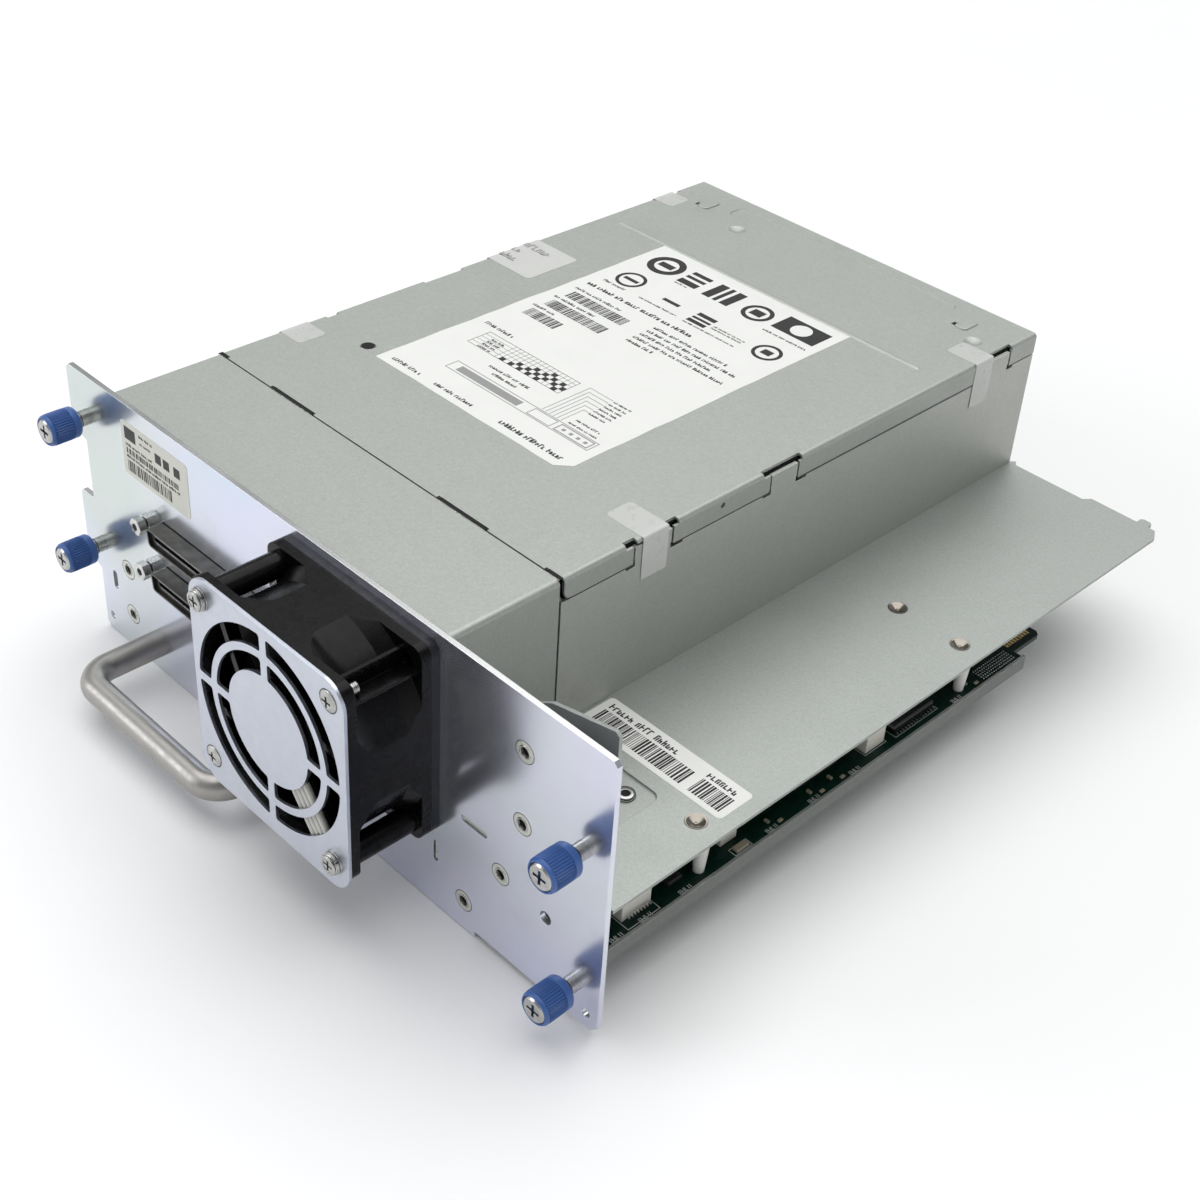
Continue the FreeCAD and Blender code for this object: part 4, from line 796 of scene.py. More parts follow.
def greeked(rng: random.Random, row: Bar, weight: float = 0.25) -> list[Bar]:
    """A row of short strokes in word-sized groups that stands for print and spells nothing.

    Args:
        rng: The random source.
        row: Where it starts and ends, its base line and the height of its strokes.
        weight: Width of a stroke as a share of the height.

    Returns:
        The bars.
    """
    u, end, v, height = row
    bars, step, line = [], height * 0.62, height * weight
    while u + step < end:
        for _ in range(rng.randint(3, 8)):
            if u + step > end:
                break
            tall = height * rng.choice((0.76, 0.76, 1.0))
            bars.append((u, v, u + line, v + tall))
            level = v + tall * rng.choice((0.0, 0.4, 0.8))
            bars.append((u + line, level, u + step * 0.8, level + line))
            if rng.random() < 0.45:
                bars.append((u + step * 0.8 - line, v, u + step * 0.8, v + tall * 0.7))
            u += step
        u += step * 0.8
    return bars


def barcode(rng: random.Random, row: Bar) -> list[Bar]:
    """Upright bars of random width that code nothing.

    Args:
        rng: The random source.
        row: Where it starts and ends, and the foot and the top of its bars.

    Returns:
        The bars.
    """
    u, end, foot, top = row
    bars = []
    while u < end - 0.6:
        width = rng.choice((0.22, 0.22, 0.45, 0.65))
        bars.append((u, foot, u + width, top))
        u += width + rng.choice((0.22, 0.3, 0.5))
    return bars


def rounded_outline(bar: Bar, r: float) -> list[Pair]:
    """The outline of a rectangle with round corners.

    Args:
        bar: The rectangle.
        r: Radius of its corners.

    Returns:
        The outline's points in order.
    """
    u0, v0, u1, v1 = bar
    middles = (u1 - r, v0 + r), (u1 - r, v1 - r), (u0 + r, v1 - r), (u0 + r, v0 + r)
    points = []
    for quarter, (u, v) in enumerate(middles):
        for i in range(7):
            angle = math.radians(90 * (quarter - 1) + 15 * i)
            points.append((u + r * math.cos(angle), v + r * math.sin(angle)))
    return points


# --- assemblies ---
@dataclass
class Assembly:
    """A group of visual pieces that belong together."""

    finishes: dict[str, Material]

    def build(self) -> None:
        """Make the pieces."""
        raise NotImplementedError

    def put(self, solid: Solid, name: str, finish: str, **others: object) -> None:
        """Place a solid as a piece with a finish."""
        solid.place(name, self.finishes[finish], **others)

    def printed(self, name: str, finish: str, flat: Flat, bars: list[Bar], lift: float = FILM,
                thick: float = INK) -> None:
        """Lay bars on a face as one piece.

        Args:
            name: The piece's name.
            finish: Its finish.
            flat: The face.
            bars: The bars.
            lift: Height they start at.
            thick: Their thickness.
        """
        solid = Solid()
        for bar in bars:
            solid.bar(flat, bar, lift, thick)
        self.put(solid, name, finish)


class CadFinishes(Assembly):
    """Gives every CAD node the finish of its slot."""

    def build(self) -> None:
        """Assign the finishes."""
        slots = {part["node"]: part["material_slot"] for part in frame["record"]["subparts"]}
        for name, node in frame["nodes"].items():
            node.data.materials.clear()
            node.data.materials.append(self.finishes[slots[name]])


@dataclass
class TopLabel(Assembly):
    """The large paper label on the cover, with generic blocks, bars and a table in place of print."""

    left: float = 43.5
    right: float = 124.0
    near: float = 75.0
    far: float = 197.0
    cut: float = 4.0
    wave: float = 0.35
    wave_step: float = 6.0
    blocks: tuple[Bar, ...] = (
        (51.5, 185.0, 57.5, 188.0), (63.5, 181.5, 71.5, 184.5), (63.5, 186.0, 71.5, 187.6),
        (63.5, 189.0, 71.5, 191.0), (75.0, 181.0, 78.4, 191.5), (79.6, 181.0, 81.2, 191.5),
        (82.6, 181.0, 86.0, 191.5), (93.2, 183.6, 97.8, 187.4), (103.5, 182.5, 120.5, 192.5),
        (51.5, 169.2, 57.5, 170.8), (70.0, 168.2, 77.0, 169.8), (84.0, 164.5, 91.5, 166.3),
        (84.0, 167.2, 91.5, 168.4), (84.0, 169.5, 91.5, 171.5), (112.7, 167.0, 116.3, 170.0))
    rings: tuple[Bar, ...] = ((54.5, 186.5, 4.2, 6.6), (95.5, 185.5, 3.9, 5.4), (54.5, 170.0, 4.0, 5.2),
                              (114.5, 168.5, 3.7, 4.9))
    disc: Point = (112.0, 187.5, 3.6)
    rows: tuple[Bar, ...] = (
        (47.5, 93.5, 156.8, 1.9), (47.5, 68.0, 151.6, 1.3), (47.5, 66.0, 142.4, 1.3),
        (47.5, 57.5, 133.3, 1.3), (47.5, 61.0, 113.6, 1.5), (68.5, 86.5, 96.8, 1.3), (72.5, 83.0, 94.4, 1.2),
        (47.5, 61.0, 77.6, 1.5), (66.5, 84.5, 77.6, 1.5), (94.0, 119.5, 78.0, 1.9), (93.0, 106.0, 167.6, 0.8),
        (93.0, 106.0, 166.2, 0.8), (64.5, 81.0, 163.2, 0.8), (84.0, 106.0, 162.8, 0.8),
        (49.0, 59.0, 162.6, 1.3), (107.0, 117.0, 95.6, 1.0), (106.5, 118.0, 93.2, 0.8),
        (103.5, 121.0, 178.6, 1.0), (64.0, 70.0, 180.0, 0.8), (82.0, 113.0, 152.0, 1.4),
        (82.0, 119.5, 149.0, 1.4), (82.0, 113.0, 146.0, 1.4), (82.0, 119.5, 143.0, 1.4),
        (82.0, 93.0, 140.0, 1.4), *((106.5, 114.0, 110.9 - 2.0 * i, 0.9) for i in range(6)))
    codes: tuple[Bar, ...] = ((49.5, 74.8, 145.2, 150.0), (49.5, 74.8, 136.2, 141.0),
                              (49.5, 63.6, 127.2, 132.0))

    def build(self) -> None:
        """Make the paper and its prints."""
        rng = random.Random(11)
        self.put(Solid().patch(ON_COVER, self.outline(rng), 0.0, FILM), "top_label_paper", "label_paper")
        self.printed("top_label_blocks", "ink_black", ON_COVER, list(self.blocks))
        rings = Solid()
        for x, y, inner, outer in self.rings:
            rings.ring(spot(x, y, COVER_TOP), Z, band(inner, outer, FILM, FILM + INK))
        self.put(rings, "top_label_rings", "ink_black")
        x, y, radius = self.disc
        disc = Solid().turned(spot(x, y, COVER_TOP), Z, rod(radius, FILM, FILM + 2 * INK))
        self.put(disc, "top_label_disc", "label_paper")
        rows = [bar for row in self.rows for bar in greeked(rng, row)]
        self.printed("top_label_rows", "ink_black", ON_COVER, rows)
        codes = [bar for code in self.codes for bar in barcode(rng, code)]
        self.printed("top_label_codes", "ink_black", ON_COVER, codes)
        self.printed("top_label_table", "ink_black", ON_COVER, self.table(rng))
        self.printed("top_label_drawing", "ink_grey", ON_COVER, self.drawing())

    def outline(self, rng: random.Random) -> list[Pair]:
        """The paper's edge: straight sides that waver a little, and one cut corner.

        Args:
            rng: The random source.

        Returns:
            Its corners in order.
        """
        corners = [(self.left, self.near), (self.right - self.cut, self.near),
                   (self.right, self.near + self.cut), (self.right, self.far), (self.left, self.far)]
        outline = []
        for (u0, v0), (u1, v1) in zip(corners, corners[1:] + corners[:1]):
            steps = max(1, int(math.dist((u0, v0), (u1, v1)) / self.wave_step))
            for i in range(steps):
                bow = self.wave * rng.uniform(-0.5, 0.5) if i else 0.0
                share = i / steps
                outline.append((u0 + (u1 - u0) * share + (bow if u0 == u1 else 0),
                                v0 + (v1 - v0) * share + (bow if v0 == v1 else 0)))
        return outline

    def table(self, rng: random.Random) -> list[Bar]:
        """A small table whose right part is chequered.

        Args:
            rng: The random source.

        Returns:
            The bars.
        """
        start, left, foot, cell, rows, columns = 53.0, 65.0, 102.0, 1.85, 5, 15
        right, head, line = left + cell * columns, foot + cell * rows, 0.1
        bars = framed((start, foot, right, head), 0.16)
        bars += [(start, foot + cell * i, right, foot + cell * i + line) for i in range(1, rows)]
        bars += [(left + cell * i, foot, left + cell * i + line, head) for i in range(columns)]
        for column in range(columns):
            for row in range(rows - 1):
                if column * 0.55 > row * 1.6 + 0.4 and (column + row) % 2 and rng.random() < 0.9:
                    u, v = left + cell * column, foot + cell * row
                    bars.append((u, v, u + cell, v + cell))
        for row in range(rows - 1):
            bars += greeked(rng, (57.0, 62.5, foot + cell * row + 0.4, 1.0))
        return bars

    def drawing(self) -> list[Bar]:
        """Leader lines and an outlined connector.

        Returns:
            The bars.
        """
        bars, line = [], 0.25
        for i in range(6):
            u, v = 96.3 + 1.55 * i, 111.4 - 2.0 * i
            bars += [(u, 92.5, u + line, v), (u, v, 106.0, v + line)]
        bars += framed((60.5, 87.0, 120.5, 92.2), 0.3) + [(64.0, 88.0, 90.5, 91.0)]
        bars += framed((95.0, 87.6, 104.5, 91.6), 0.3) + framed((106.0, 87.6, 119.5, 91.6), 0.45)
        bars += [(108.0 + 2.9 * i, 89.0, 109.2 + 2.9 * i, 90.2) for i in range(4)]
        return bars


class Side(enum.IntEnum):
    """The cover's two long edges, as the sign of x towards them."""

    LEFT = -1
    RIGHT = 1


@dataclass(frozen=True)
class Film:
    """A film that lies on the cover and is folded down over one edge."""

    name: str
    finish: str
    side: Side
    reach: float
    front: float
    rear: float
    foot: float


@dataclass
class CoverDressing(Assembly):
    """Tapes, the folded seal and the small hole of the cover, with painted shade behind and over its
    openings, painted highlights in front of the seam's slots, and the hole drawn as a black disc of painted
    shade in a ring of painted highlight.
    """

    left: float = 13.95
    right: float = 160.05
    bend: float = 0.5
    corner: float = 1.6
    hole: Pair = (37.3, 77.0)
    hole_radius: float = 2.1
    films: tuple[Film, ...] = (
        Film("tape_front_left", "tape_film", Side.LEFT, 24.0, 62.0, 72.0, 70.0),
        Film("tape_rear_left", "tape_film", Side.LEFT, 23.0, 221.0, 230.5, 70.0),
        Film("tape_front_right", "tape_film", Side.RIGHT, 145.8, 69.5, 79.0, 70.0),
        Film("tape_rear_right", "tape_film", Side.RIGHT, 148.3, 214.0, 223.0, 68.0),
        Film("seal", "seal_film", Side.LEFT, 33.8, 144.0, 166.0, 69.0))
    seal_rows: tuple[Bar, ...] = ((14.2, 26.5, 159.2, 3.2), (14.2, 18.5, 154.0, 2.8),
                                  (14.2, 22.0, 148.6, 3.0))
    seam: Bar = (39.6, 42.6, 81.0, 82.1)
    lip: Bar = (158.05, 158.35, 72.0, 82.0)
    # Bands of y for the painted shade over the seam slots' mouths and the painted highlight just in front of
    # them.
    mouth: Pair = (40.5, 41.9)
    bright: Pair = (40.2, 40.5)
    seam_liners: tuple[Pair, ...] = ((14.6, 19.5), (38.5, 60.5), (111.5, 133.5), (153.0, 158.6))
    lip_liners: tuple[Pair, ...] = ((62.0, 86.5), (115.0, 137.0), (219.0, 236.5))
    seam_slots: tuple[Pair, ...] = ((14.2, 18.2), (40.0, 58.6), (113.0, 131.6), (154.6, 159.6))
    lip_shadows: tuple[Bar, ...] = ((131.8, 76.05, 220.6, 76.62), (43.0, 76.3, 66.0, 76.55),
                                    (81.6, 76.3, 119.0, 76.55))

    def build(self) -> None:
        """Make the films, the painted shade and highlights of the openings, and the hole's painted shade and
        highlight.
        """
        for film in self.films:
            self.folded(film)
        self.liners()
        rng = random.Random(5)
        bars = [bar for row in self.seal_rows for bar in greeked(rng, row, 0.17)]
        self.printed("seal_rows", "ink_grey", ON_COVER, bars, FILM + INK)
        centre, r = spot(*self.hole, COVER_TOP), self.hole_radius
        # Painted shade: the hole is a thin black disc on the cover; painted highlight: a bright metal ring
        # round its rim.
        self.put(Solid().turned(centre, Z, rod(r, 0.0, 0.02)), "cover_hole", "shadow_black")
        rim = (r, 0.0), (r, 0.05), (r + 0.25, 0.05), (r + 0.35, 0.0)
        self.put(Solid().ring(centre, Z, rim), "cover_hole_edge", "screw_zinc")

    def liners(self) -> None:
        """Line the openings under the cover and behind its lips with black, as painted shade where no light
        reaches; lay painted shade over the seam slots' mouths, a painted highlight just in front of them and
        a painted shadow under the lips.
        """
        dark = Solid()
        y0, y1, low, high = self.seam
        for x0, x1 in self.seam_liners:
            dark.block(spot(x0, y0, low), spot(x1, y1, high))
        x0, x1, low, high = self.lip
        for y0, y1 in self.lip_liners:
            dark.block(spot(x0, y0, low), spot(x1, y1, high))
        self.put(dark, "opening_liners", "shadow_black")
        # Painted shade: black strips over the seam slots' mouths. Painted highlight: bright metal strips just
        # in front of them.
        mouths = [(x0, self.mouth[0], x1, self.mouth[1]) for x0, x1 in self.seam_slots]
        self.printed("seam_mouths", "shadow_black", ON_COVER, mouths, 0.0, 0.02)
        edges = [(x0, self.bright[0], x1, self.bright[1]) for x0, x1 in self.seam_slots]
        self.printed("seam_bright_edges", "screw_zinc", ON_COVER, edges, 0.0, 0.03)
        self.printed("lip_shadow", "groove_grey", ON_SIDE, list(self.lip_shadows), 0.0, 0.02)

    def folded(self, film: Film) -> None:
        """Lay a film on the cover and down over its edge.

        Args:
            film: The film.
        """
        edge = self.right if film.side is Side.RIGHT else self.left
        half, r, path, halves = (film.rear - film.front) / 2, self.corner, [], []
        for i in range(7):
            angle = math.radians(90 * i / 6)
            path.append((film.reach + film.side * r * (1 - math.cos(angle)), COVER_TOP))
            halves.append(half - r + r * math.sin(angle))
        for i in range(5):
            angle = math.radians(90 * i / 4)
            path.append((edge - film.side * self.bend * (1 - math.sin(angle)),
                         COVER_TOP - self.bend * (1 - math.cos(angle))))
        path.append((edge, film.foot))
        halves += [half] * 6
        points = [spot(x, (film.front + film.rear) / 2, z) for x, z in path]
        self.put(Solid().strip(points, Y, halves, FILM * film.side), film.name, film.finish)


@dataclass
class ShelfLabel(Assembly):
    """The white label on the wing's shelf with its two barcodes."""

    paper: Bar = (160.8, 48.6, 212.0, 61.6)
    corner: float = 1.3
    codes: tuple[Bar, ...] = ((163.2, 196.5, 50.4, 56.6), (199.0, 210.3, 50.4, 56.6))
    rows: tuple[Bar, ...] = ((163.2, 190.5, 57.6, 2.3), (198.8, 210.5, 57.6, 2.3))

    def build(self) -> None:
        """Make the paper, its rows of strokes and its bars."""
        rng = random.Random(7)
        outline = rounded_outline(self.paper, self.corner)
        self.put(Solid().patch(ON_SHELF, outline, 0.0, FILM), "shelf_label_paper", "label_paper")
        bars = [bar for code in self.codes for bar in barcode(rng, code)]
        bars += [bar for row in self.rows for bar in greeked(rng, row, 0.2)]
        self.printed("shelf_label_bars", "ink_black", ON_SHELF, bars)


@dataclass
class PanelDressing(Assembly):
    """The cream film on the panel with generic bars, and the bright walls inside two slots."""

    film: Bar = (27.0, 65.5, 59.0, 83.0)
    corner: float = 1.4
    blocks: tuple[Bar, ...] = ((28.6, 77.4, 34.0, 81.4), (43.5, 76.6, 46.4, 79.6), (47.4, 76.6, 50.3, 79.6),
                               (52.4, 76.6, 55.3, 79.6))
    rows: tuple[Bar, ...] = ((36.0, 43.0, 80.6, 0.9), (36.0, 42.0, 78.4, 0.8), (28.8, 42.0, 75.2, 0.9),
                             (28.8, 55.0, 71.4, 0.9))
    codes: tuple[Bar, ...] = ((29.0, 55.0, 72.8, 74.6), (29.0, 50.5, 67.0, 70.6))
    slots: tuple[Bar, ...] = ((171.2, 37.0, 179.8, 38.15), (160.75, 16.0, 161.65, 22.0))
    slot_corner: float = 0.44

    def build(self) -> None:
        """Make the film, its bars and the walls."""
        rng = random.Random(3)
        outline = rounded_outline(self.film, self.corner)
        self.put(Solid().patch(ON_PANEL, outline, 0.0, FILM), "panel_label_film", "label_film")
        bars = list(self.blocks) + [bar for row in self.rows for bar in greeked(rng, row)]
        bars += [bar for code in self.codes for bar in barcode(rng, code)]
        self.printed("panel_label_bars", "ink_black", ON_PANEL, bars)
        walls = Solid()
        for slot in self.slots:
            walls.patch(ON_PANEL, rounded_outline(slot, self.slot_corner), -0.5, 0.1)
        self.put(walls, "panel_slot_walls", "ring_plate")


@dataclass
class CaptiveScrews(Assembly):
    """Ribbed knobs and grooved barrels of the four captive screws, the grooves drawn as thin bands of painted
    shade.
    """

    places: tuple[Pair, ...] = ((9.0, 74.8), (9.0, 31.4), (212.5, 57.4), (212.5, 14.0))
    knob: Section = (
        (2.4, -12.35), (3.72, -12.35), (3.72, -13.05), (3.84, -13.2), (4.06, -13.2), (4.16, -13.12),
        (4.52, -12.5), (4.56, -12.2), (4.2, -12.0), (4.2, -11.8), (4.2, -6.6), (4.2, -6.4), (4.56, -6.2),
        (4.56, -4.7), (4.46, -4.45), (4.1, -4.0), (2.42, -4.0))
    ribs: int = 38
    rib_height: float = 0.42
    rib_rows: tuple[int, int] = (9, 10)
    groove_shades: tuple[tuple[int, float], ...] = ((35, -3.55), (29, -2.9))
    lip: Section = ((2.2, -3.3), (2.38, -3.25), (2.38, -2.98), (2.2, -2.93))

    def build(self) -> None:
        """Make the knobs, the barrels' rings and the painted shade of their grooves."""
        for number, (x, z) in enumerate(self.places, 1):
            name, axis = f"thumbscrew_{number}", spot(x, 0, z)
            knob = Solid().turned(axis, Y, self.knob, self.ribs * 6, self.ribs, self.rib_height,
                                  self.rib_rows)
            self.put(knob, f"{name}_ribbed_knob", "knob_blue", body=name, slot="knob_blue",
                     replaces=(f"{name}_knob",), smooth=40)
            # Painted shade: each barrel groove is a thin black band round the barrel.
            for mark, at in self.groove_shades:
                groove = Solid().ring(axis, Y, band(2.2, 2.33, at, at + 0.22))
                self.put(groove, f"{name}_barrel_groove_{mark}", "shadow_black")
            self.put(Solid().ring(axis, Y, self.lip), f"{name}_barrel_ring", "screw_zinc")


@dataclass
class BarHandle(Assembly):
    """The bent bar as one smooth tube."""

    z: float = 11.2
    legs: Pair = (37.0, 101.0)
    radius: float = 4.0
    reach: float = 25.5
    bend: float = 8.0
    steps: int = 16

    def build(self) -> None:
        """Sweep the bar."""
        left, right = self.legs
        straight = self.reach - self.bend
        turns = [math.radians(90 * i / self.steps) for i in range(self.steps + 1)]
        path = [(left, 0.0)]
        path += [(left + self.bend * (1 - math.cos(a)), -straight - self.bend * math.sin(a)) for a in turns]
        path += [(right - self.bend * (1 - math.sin(a)), -straight - self.bend * math.cos(a)) for a in turns]
        path.append((right, 0.0))
        bar = Solid().tube([spot(x, y, self.z) for x, y in path], self.radius)
        self.put(bar, "handle_bar", "handle_aluminium", slot="handle_aluminium", replaces=("handle",))


@dataclass
class FanDressing(Assembly):
    """Split rings and crowns of the fan's long screws, thread ends of its short ones, and painted shade in
    the split rings' gaps, in the cross recesses and as dark rims round the short screws' heads.
    """

    axis: Pair = (132.7, 56.1)
    offset: float = 25.0
    split_ring: Section = ((2.3, -29.65), (3.02, -29.65), (3.08, -29.58), (3.08, -29.0), (2.3, -29.0))
    split_gap: Section = ((1.9, 1.4), (2.5, 1.9), (2.3, 2.1), (1.7, 1.6))
    crown: Section = ((2.78, -30.2), (2.6, -30.48), (2.2, -30.6), (1.85, -30.62), (1.85, -30.4))
    thread: Section = ((1.42, -24.4), (1.62, -24.2), (1.62, -24.12), (1.42, -23.92))
    pitch: float = 0.48
    turns: int = 8
    gap_lift: float = 28.98
    gap_thick: float = 0.7
    long_recess: Pair = (30.25, 1.65)
    short_recess: Pair = (28.9, 1.6)
    cross_half: float = 0.33

    def build(self) -> None:
        """Make the rings, the crowns, the thread ends and the painted shade."""
        x, z = self.axis
        for name, s in (("upper", Side.LEFT), ("lower", Side.RIGHT)):
            centre = spot(x + s * self.offset, 0, z - s * self.offset)
            self.put(Solid().ring(centre, Y, self.split_ring), f"fan_split_ring_{name}", "screw_zinc")
            # Painted shade: a black patch in the split ring's gap.
            gap = Solid().patch(Flat(centre, X, Z), self.split_gap, self.gap_lift, self.gap_thick)
            self.put(gap, f"fan_split_gap_{name}", "shadow_black")
            self.put(Solid().ring(centre, Y, self.crown), f"fan_screw_crown_{name}", "screw_zinc")
            self.recess(f"fan_long_recess_{name}", centre, *self.long_recess)
        for name, s in (("right", Side.RIGHT), ("left", Side.LEFT)):
            centre = spot(x + s * self.offset, 0, z + s * self.offset)
            thread = tuple((r, y + self.pitch * i) for i in range(self.turns) for r, y in self.thread)
            end = Solid().turned(centre, Y, thread, 40)
            self.put(end, f"fan_screw_thread_{name}", "screw_zinc", smooth=20)
            self.recess(f"fan_short_recess_{name}", centre, *self.short_recess)
            # Painted shade: a dark ring round the short screw's head.
            rim = Solid().ring(centre, Y, band(3.0, 3.22, -28.45, -28.3))
            self.put(rim, f"fan_short_rim_{name}", "groove_grey")

    def recess(self, name: str, centre: Vector, front: float, reach: float) -> None:
        """Paint shade on the floor of a screw's cross recess, as a black cross with a black plug in its
        middle.

        Args:
            name: The piece's name.
            centre: A point on the screw's axis, level with the panel's front.
            front: Distance of the recess floor in front of the panel.
            reach: Half the width of the cross.
        """
        face, cross = Flat(centre, X, Z), Solid()
        for u, v in ((reach, self.cross_half), (self.cross_half, reach)):
            cross.bar(face, (-u, -v, u, v), front - 0.02, 0.02)
        cross.turned(centre, Y, rod(0.75, 0.1 - front, -(front + 0.01)), 8)
        self.put(cross, name, "shadow_black")


@dataclass
class Rivets(Assembly):
    """The shelf's turned rivets and its ring insert, with painted shade in the ring's hole and round its
    edge.
    """

    top: float = 35.42
    places: tuple[Pair, ...] = ((208.3, 44.0), (208.5, 153.3), (186.0, 153.3))
    rivet: Section = (
        (0.02, -2.2), (1.6, -2.2), (1.65, -0.95), (3.0, -0.06), (2.9, 0.06), (2.5, 0.08), (2.3, -0.02),
        (0.72, -0.98), (0.62, -1.0), (0.42, -0.72), (0.02, -0.66))
    ring_place: Pair = (189.7, 37.8)
    ring: Section = (
        (1.15, -2.6), (1.15, -0.3), (1.25, 0.12), (2.0, 0.16), (2.25, 0.02), (2.25, -0.35), (2.6, -0.4),
        (2.6, -2.6))

    def build(self) -> None:
        """Make them."""
        rivets = Solid()
        for x, y in self.places:
            rivets.turned(spot(x, y, self.top), Z, self.rivet, 96)
        self.put(rivets, "shelf_rivets", "turned_steel", slot="screw_zinc", replaces=("wing_rivets",))
        centre = spot(*self.ring_place, self.top)
        self.put(Solid().ring(centre, Z, self.ring), "shelf_ring", "screw_zinc")
        # Painted shade: a black plug in the ring's hole and a dark line round its edge.
        self.put(Solid().turned(centre, Z, rod(1.15, -0.2, -0.05)), "shelf_ring_hole", "shadow_black")
        outline = Solid().ring(centre, Z, band(2.25, 2.6, -0.02, 0.02))
        self.put(outline, "shelf_ring_outline", "groove_grey")


@dataclass
class PanelRings(Assembly):
    """Raised inner rims, dark outlines of painted shade and bright faces of the rings in the panel."""

    places: tuple[Pair, ...] = ((22.2, 28.9), (22.2, 12.7), (192.3, 72.7), (192.4, 50.5), (185.5, 29.0),
                                (172.2, 9.7))
    rings: tuple[tuple[str, str, Section], ...] = (
        ("rim", "screw_zinc", ((1.42, 0.3), (1.42, -0.12), (1.55, -0.2), (1.8, -0.18), (1.95, -0.02),
                               (1.95, 0.3))),
        # Painted shade: a dark line where the ring meets the panel.
        ("outline", "groove_grey", band(2.95, 3.16, -0.02, 0.1)),
        ("face", "ring_plate", band(1.9, 2.95, -0.03, 0.1)))

    def build(self) -> None:
        """Make them, with a black floor of painted shade in each."""
        for number, (x, z) in enumerate(self.places, 1):
            axis = spot(x, 0, z)
            for name, finish, section in self.rings:
                self.put(Solid().ring(axis, Y, section), f"panel_ring_{name}_{number}", finish)
            # Painted shade: a black floor down in the ring's hole.
            floor = Solid().turned(axis, Y, rod(1.4, 0.9, 1.1))
            self.put(floor, f"panel_ring_depth_{number}", "shadow_black")


@dataclass
class Receptacles(Assembly):
    """Contacts of the two receptacles and the stepped fronts of their jack posts, with painted shade as a
    dark band in each post's neck and a black plug in each bore.
    """

    x: float = 66.4
    heights: Pair = (54.4, 39.1)
    jack: float = 28.75
    pitch: float = 0.8
    count: int = 50
    rows: Pair = (-1.5, 0.85)
    contact: Pair = (0.3, 0.65)
    contact_lift: Pair = (3.88, 0.06)
    line_lift: Pair = (3.89, 0.04)
    lines: tuple[Bar, ...] = ((-20.8, 0.8, 20.8, 0.92), (-20.8, -0.92, 20.8, -0.8))
    post: tuple[tuple[Section, int], ...] = (
        (((1.2, -5.1), (2.45, -5.1), (2.77, -4.95), (2.77, -2.7), (2.5, -2.5), (1.2, -2.5)), 6),
        (((1.2, -2.0), (2.35, -2.0), (2.6, -1.85), (2.6, 0.0), (1.2, 0.0)), 6),
        (rod(1.2, -0.1, 5.2), 32), (rod(2.54, 2.5, 4.3), 6))

    def build(self) -> None:
        """Make them."""
        posts, necks, bores = Solid(), Solid(), Solid()
        for name, z in zip(("upper", "lower"), self.heights):
            self.contacts(name, z)
            for s in (Side.LEFT, Side.RIGHT):
                axis = spot(self.x + s * self.jack, 0, z)
                for profile, segments in self.post:
                    posts.turned(axis, Y, profile, segments)
                # Painted shade: a dark band in the neck between the two hex steps, and a black plug at the
                # front of the bore.
                necks.turned(axis, Y, rod(1.9, -2.6, -1.9), 32)
                bores.turned(axis, Y, rod(1.15, -5.13, -4.6), 32)
        self.put(posts, "jack_posts", "jack_steel", slot="jack_steel", replaces=("receptacle_jackscrews",))
        self.put(necks, "jack_post_necks", "groove_grey")
        self.put(bores, "jack_post_bores", "shadow_black")

    def contacts(self, name: str, z: float) -> None:
        """Lay the two rows of contacts on a receptacle's tongue, and the bright lines beside its slots.

        Args:
            name: Which receptacle.
            z: Height of its middle.
        """
        solid, (wide, tall) = Solid(), self.contact
        for i in range(self.count):
            u = self.x - self.pitch * (self.count - 1) / 2 + self.pitch * i
            for rise in self.rows:
                solid.bar(ON_PANEL, (u, z + rise, u + wide, z + rise + tall), *self.contact_lift)
        self.put(solid, f"{name}_receptacle_contacts", "contact_tin")
        lines = [(self.x + u0, z + v0, self.x + u1, z + v1) for u0, v0, u1, v1 in self.lines]
        self.printed(f"{name}_receptacle_lines", "contact_tin", ON_PANEL, lines, *self.line_lift)


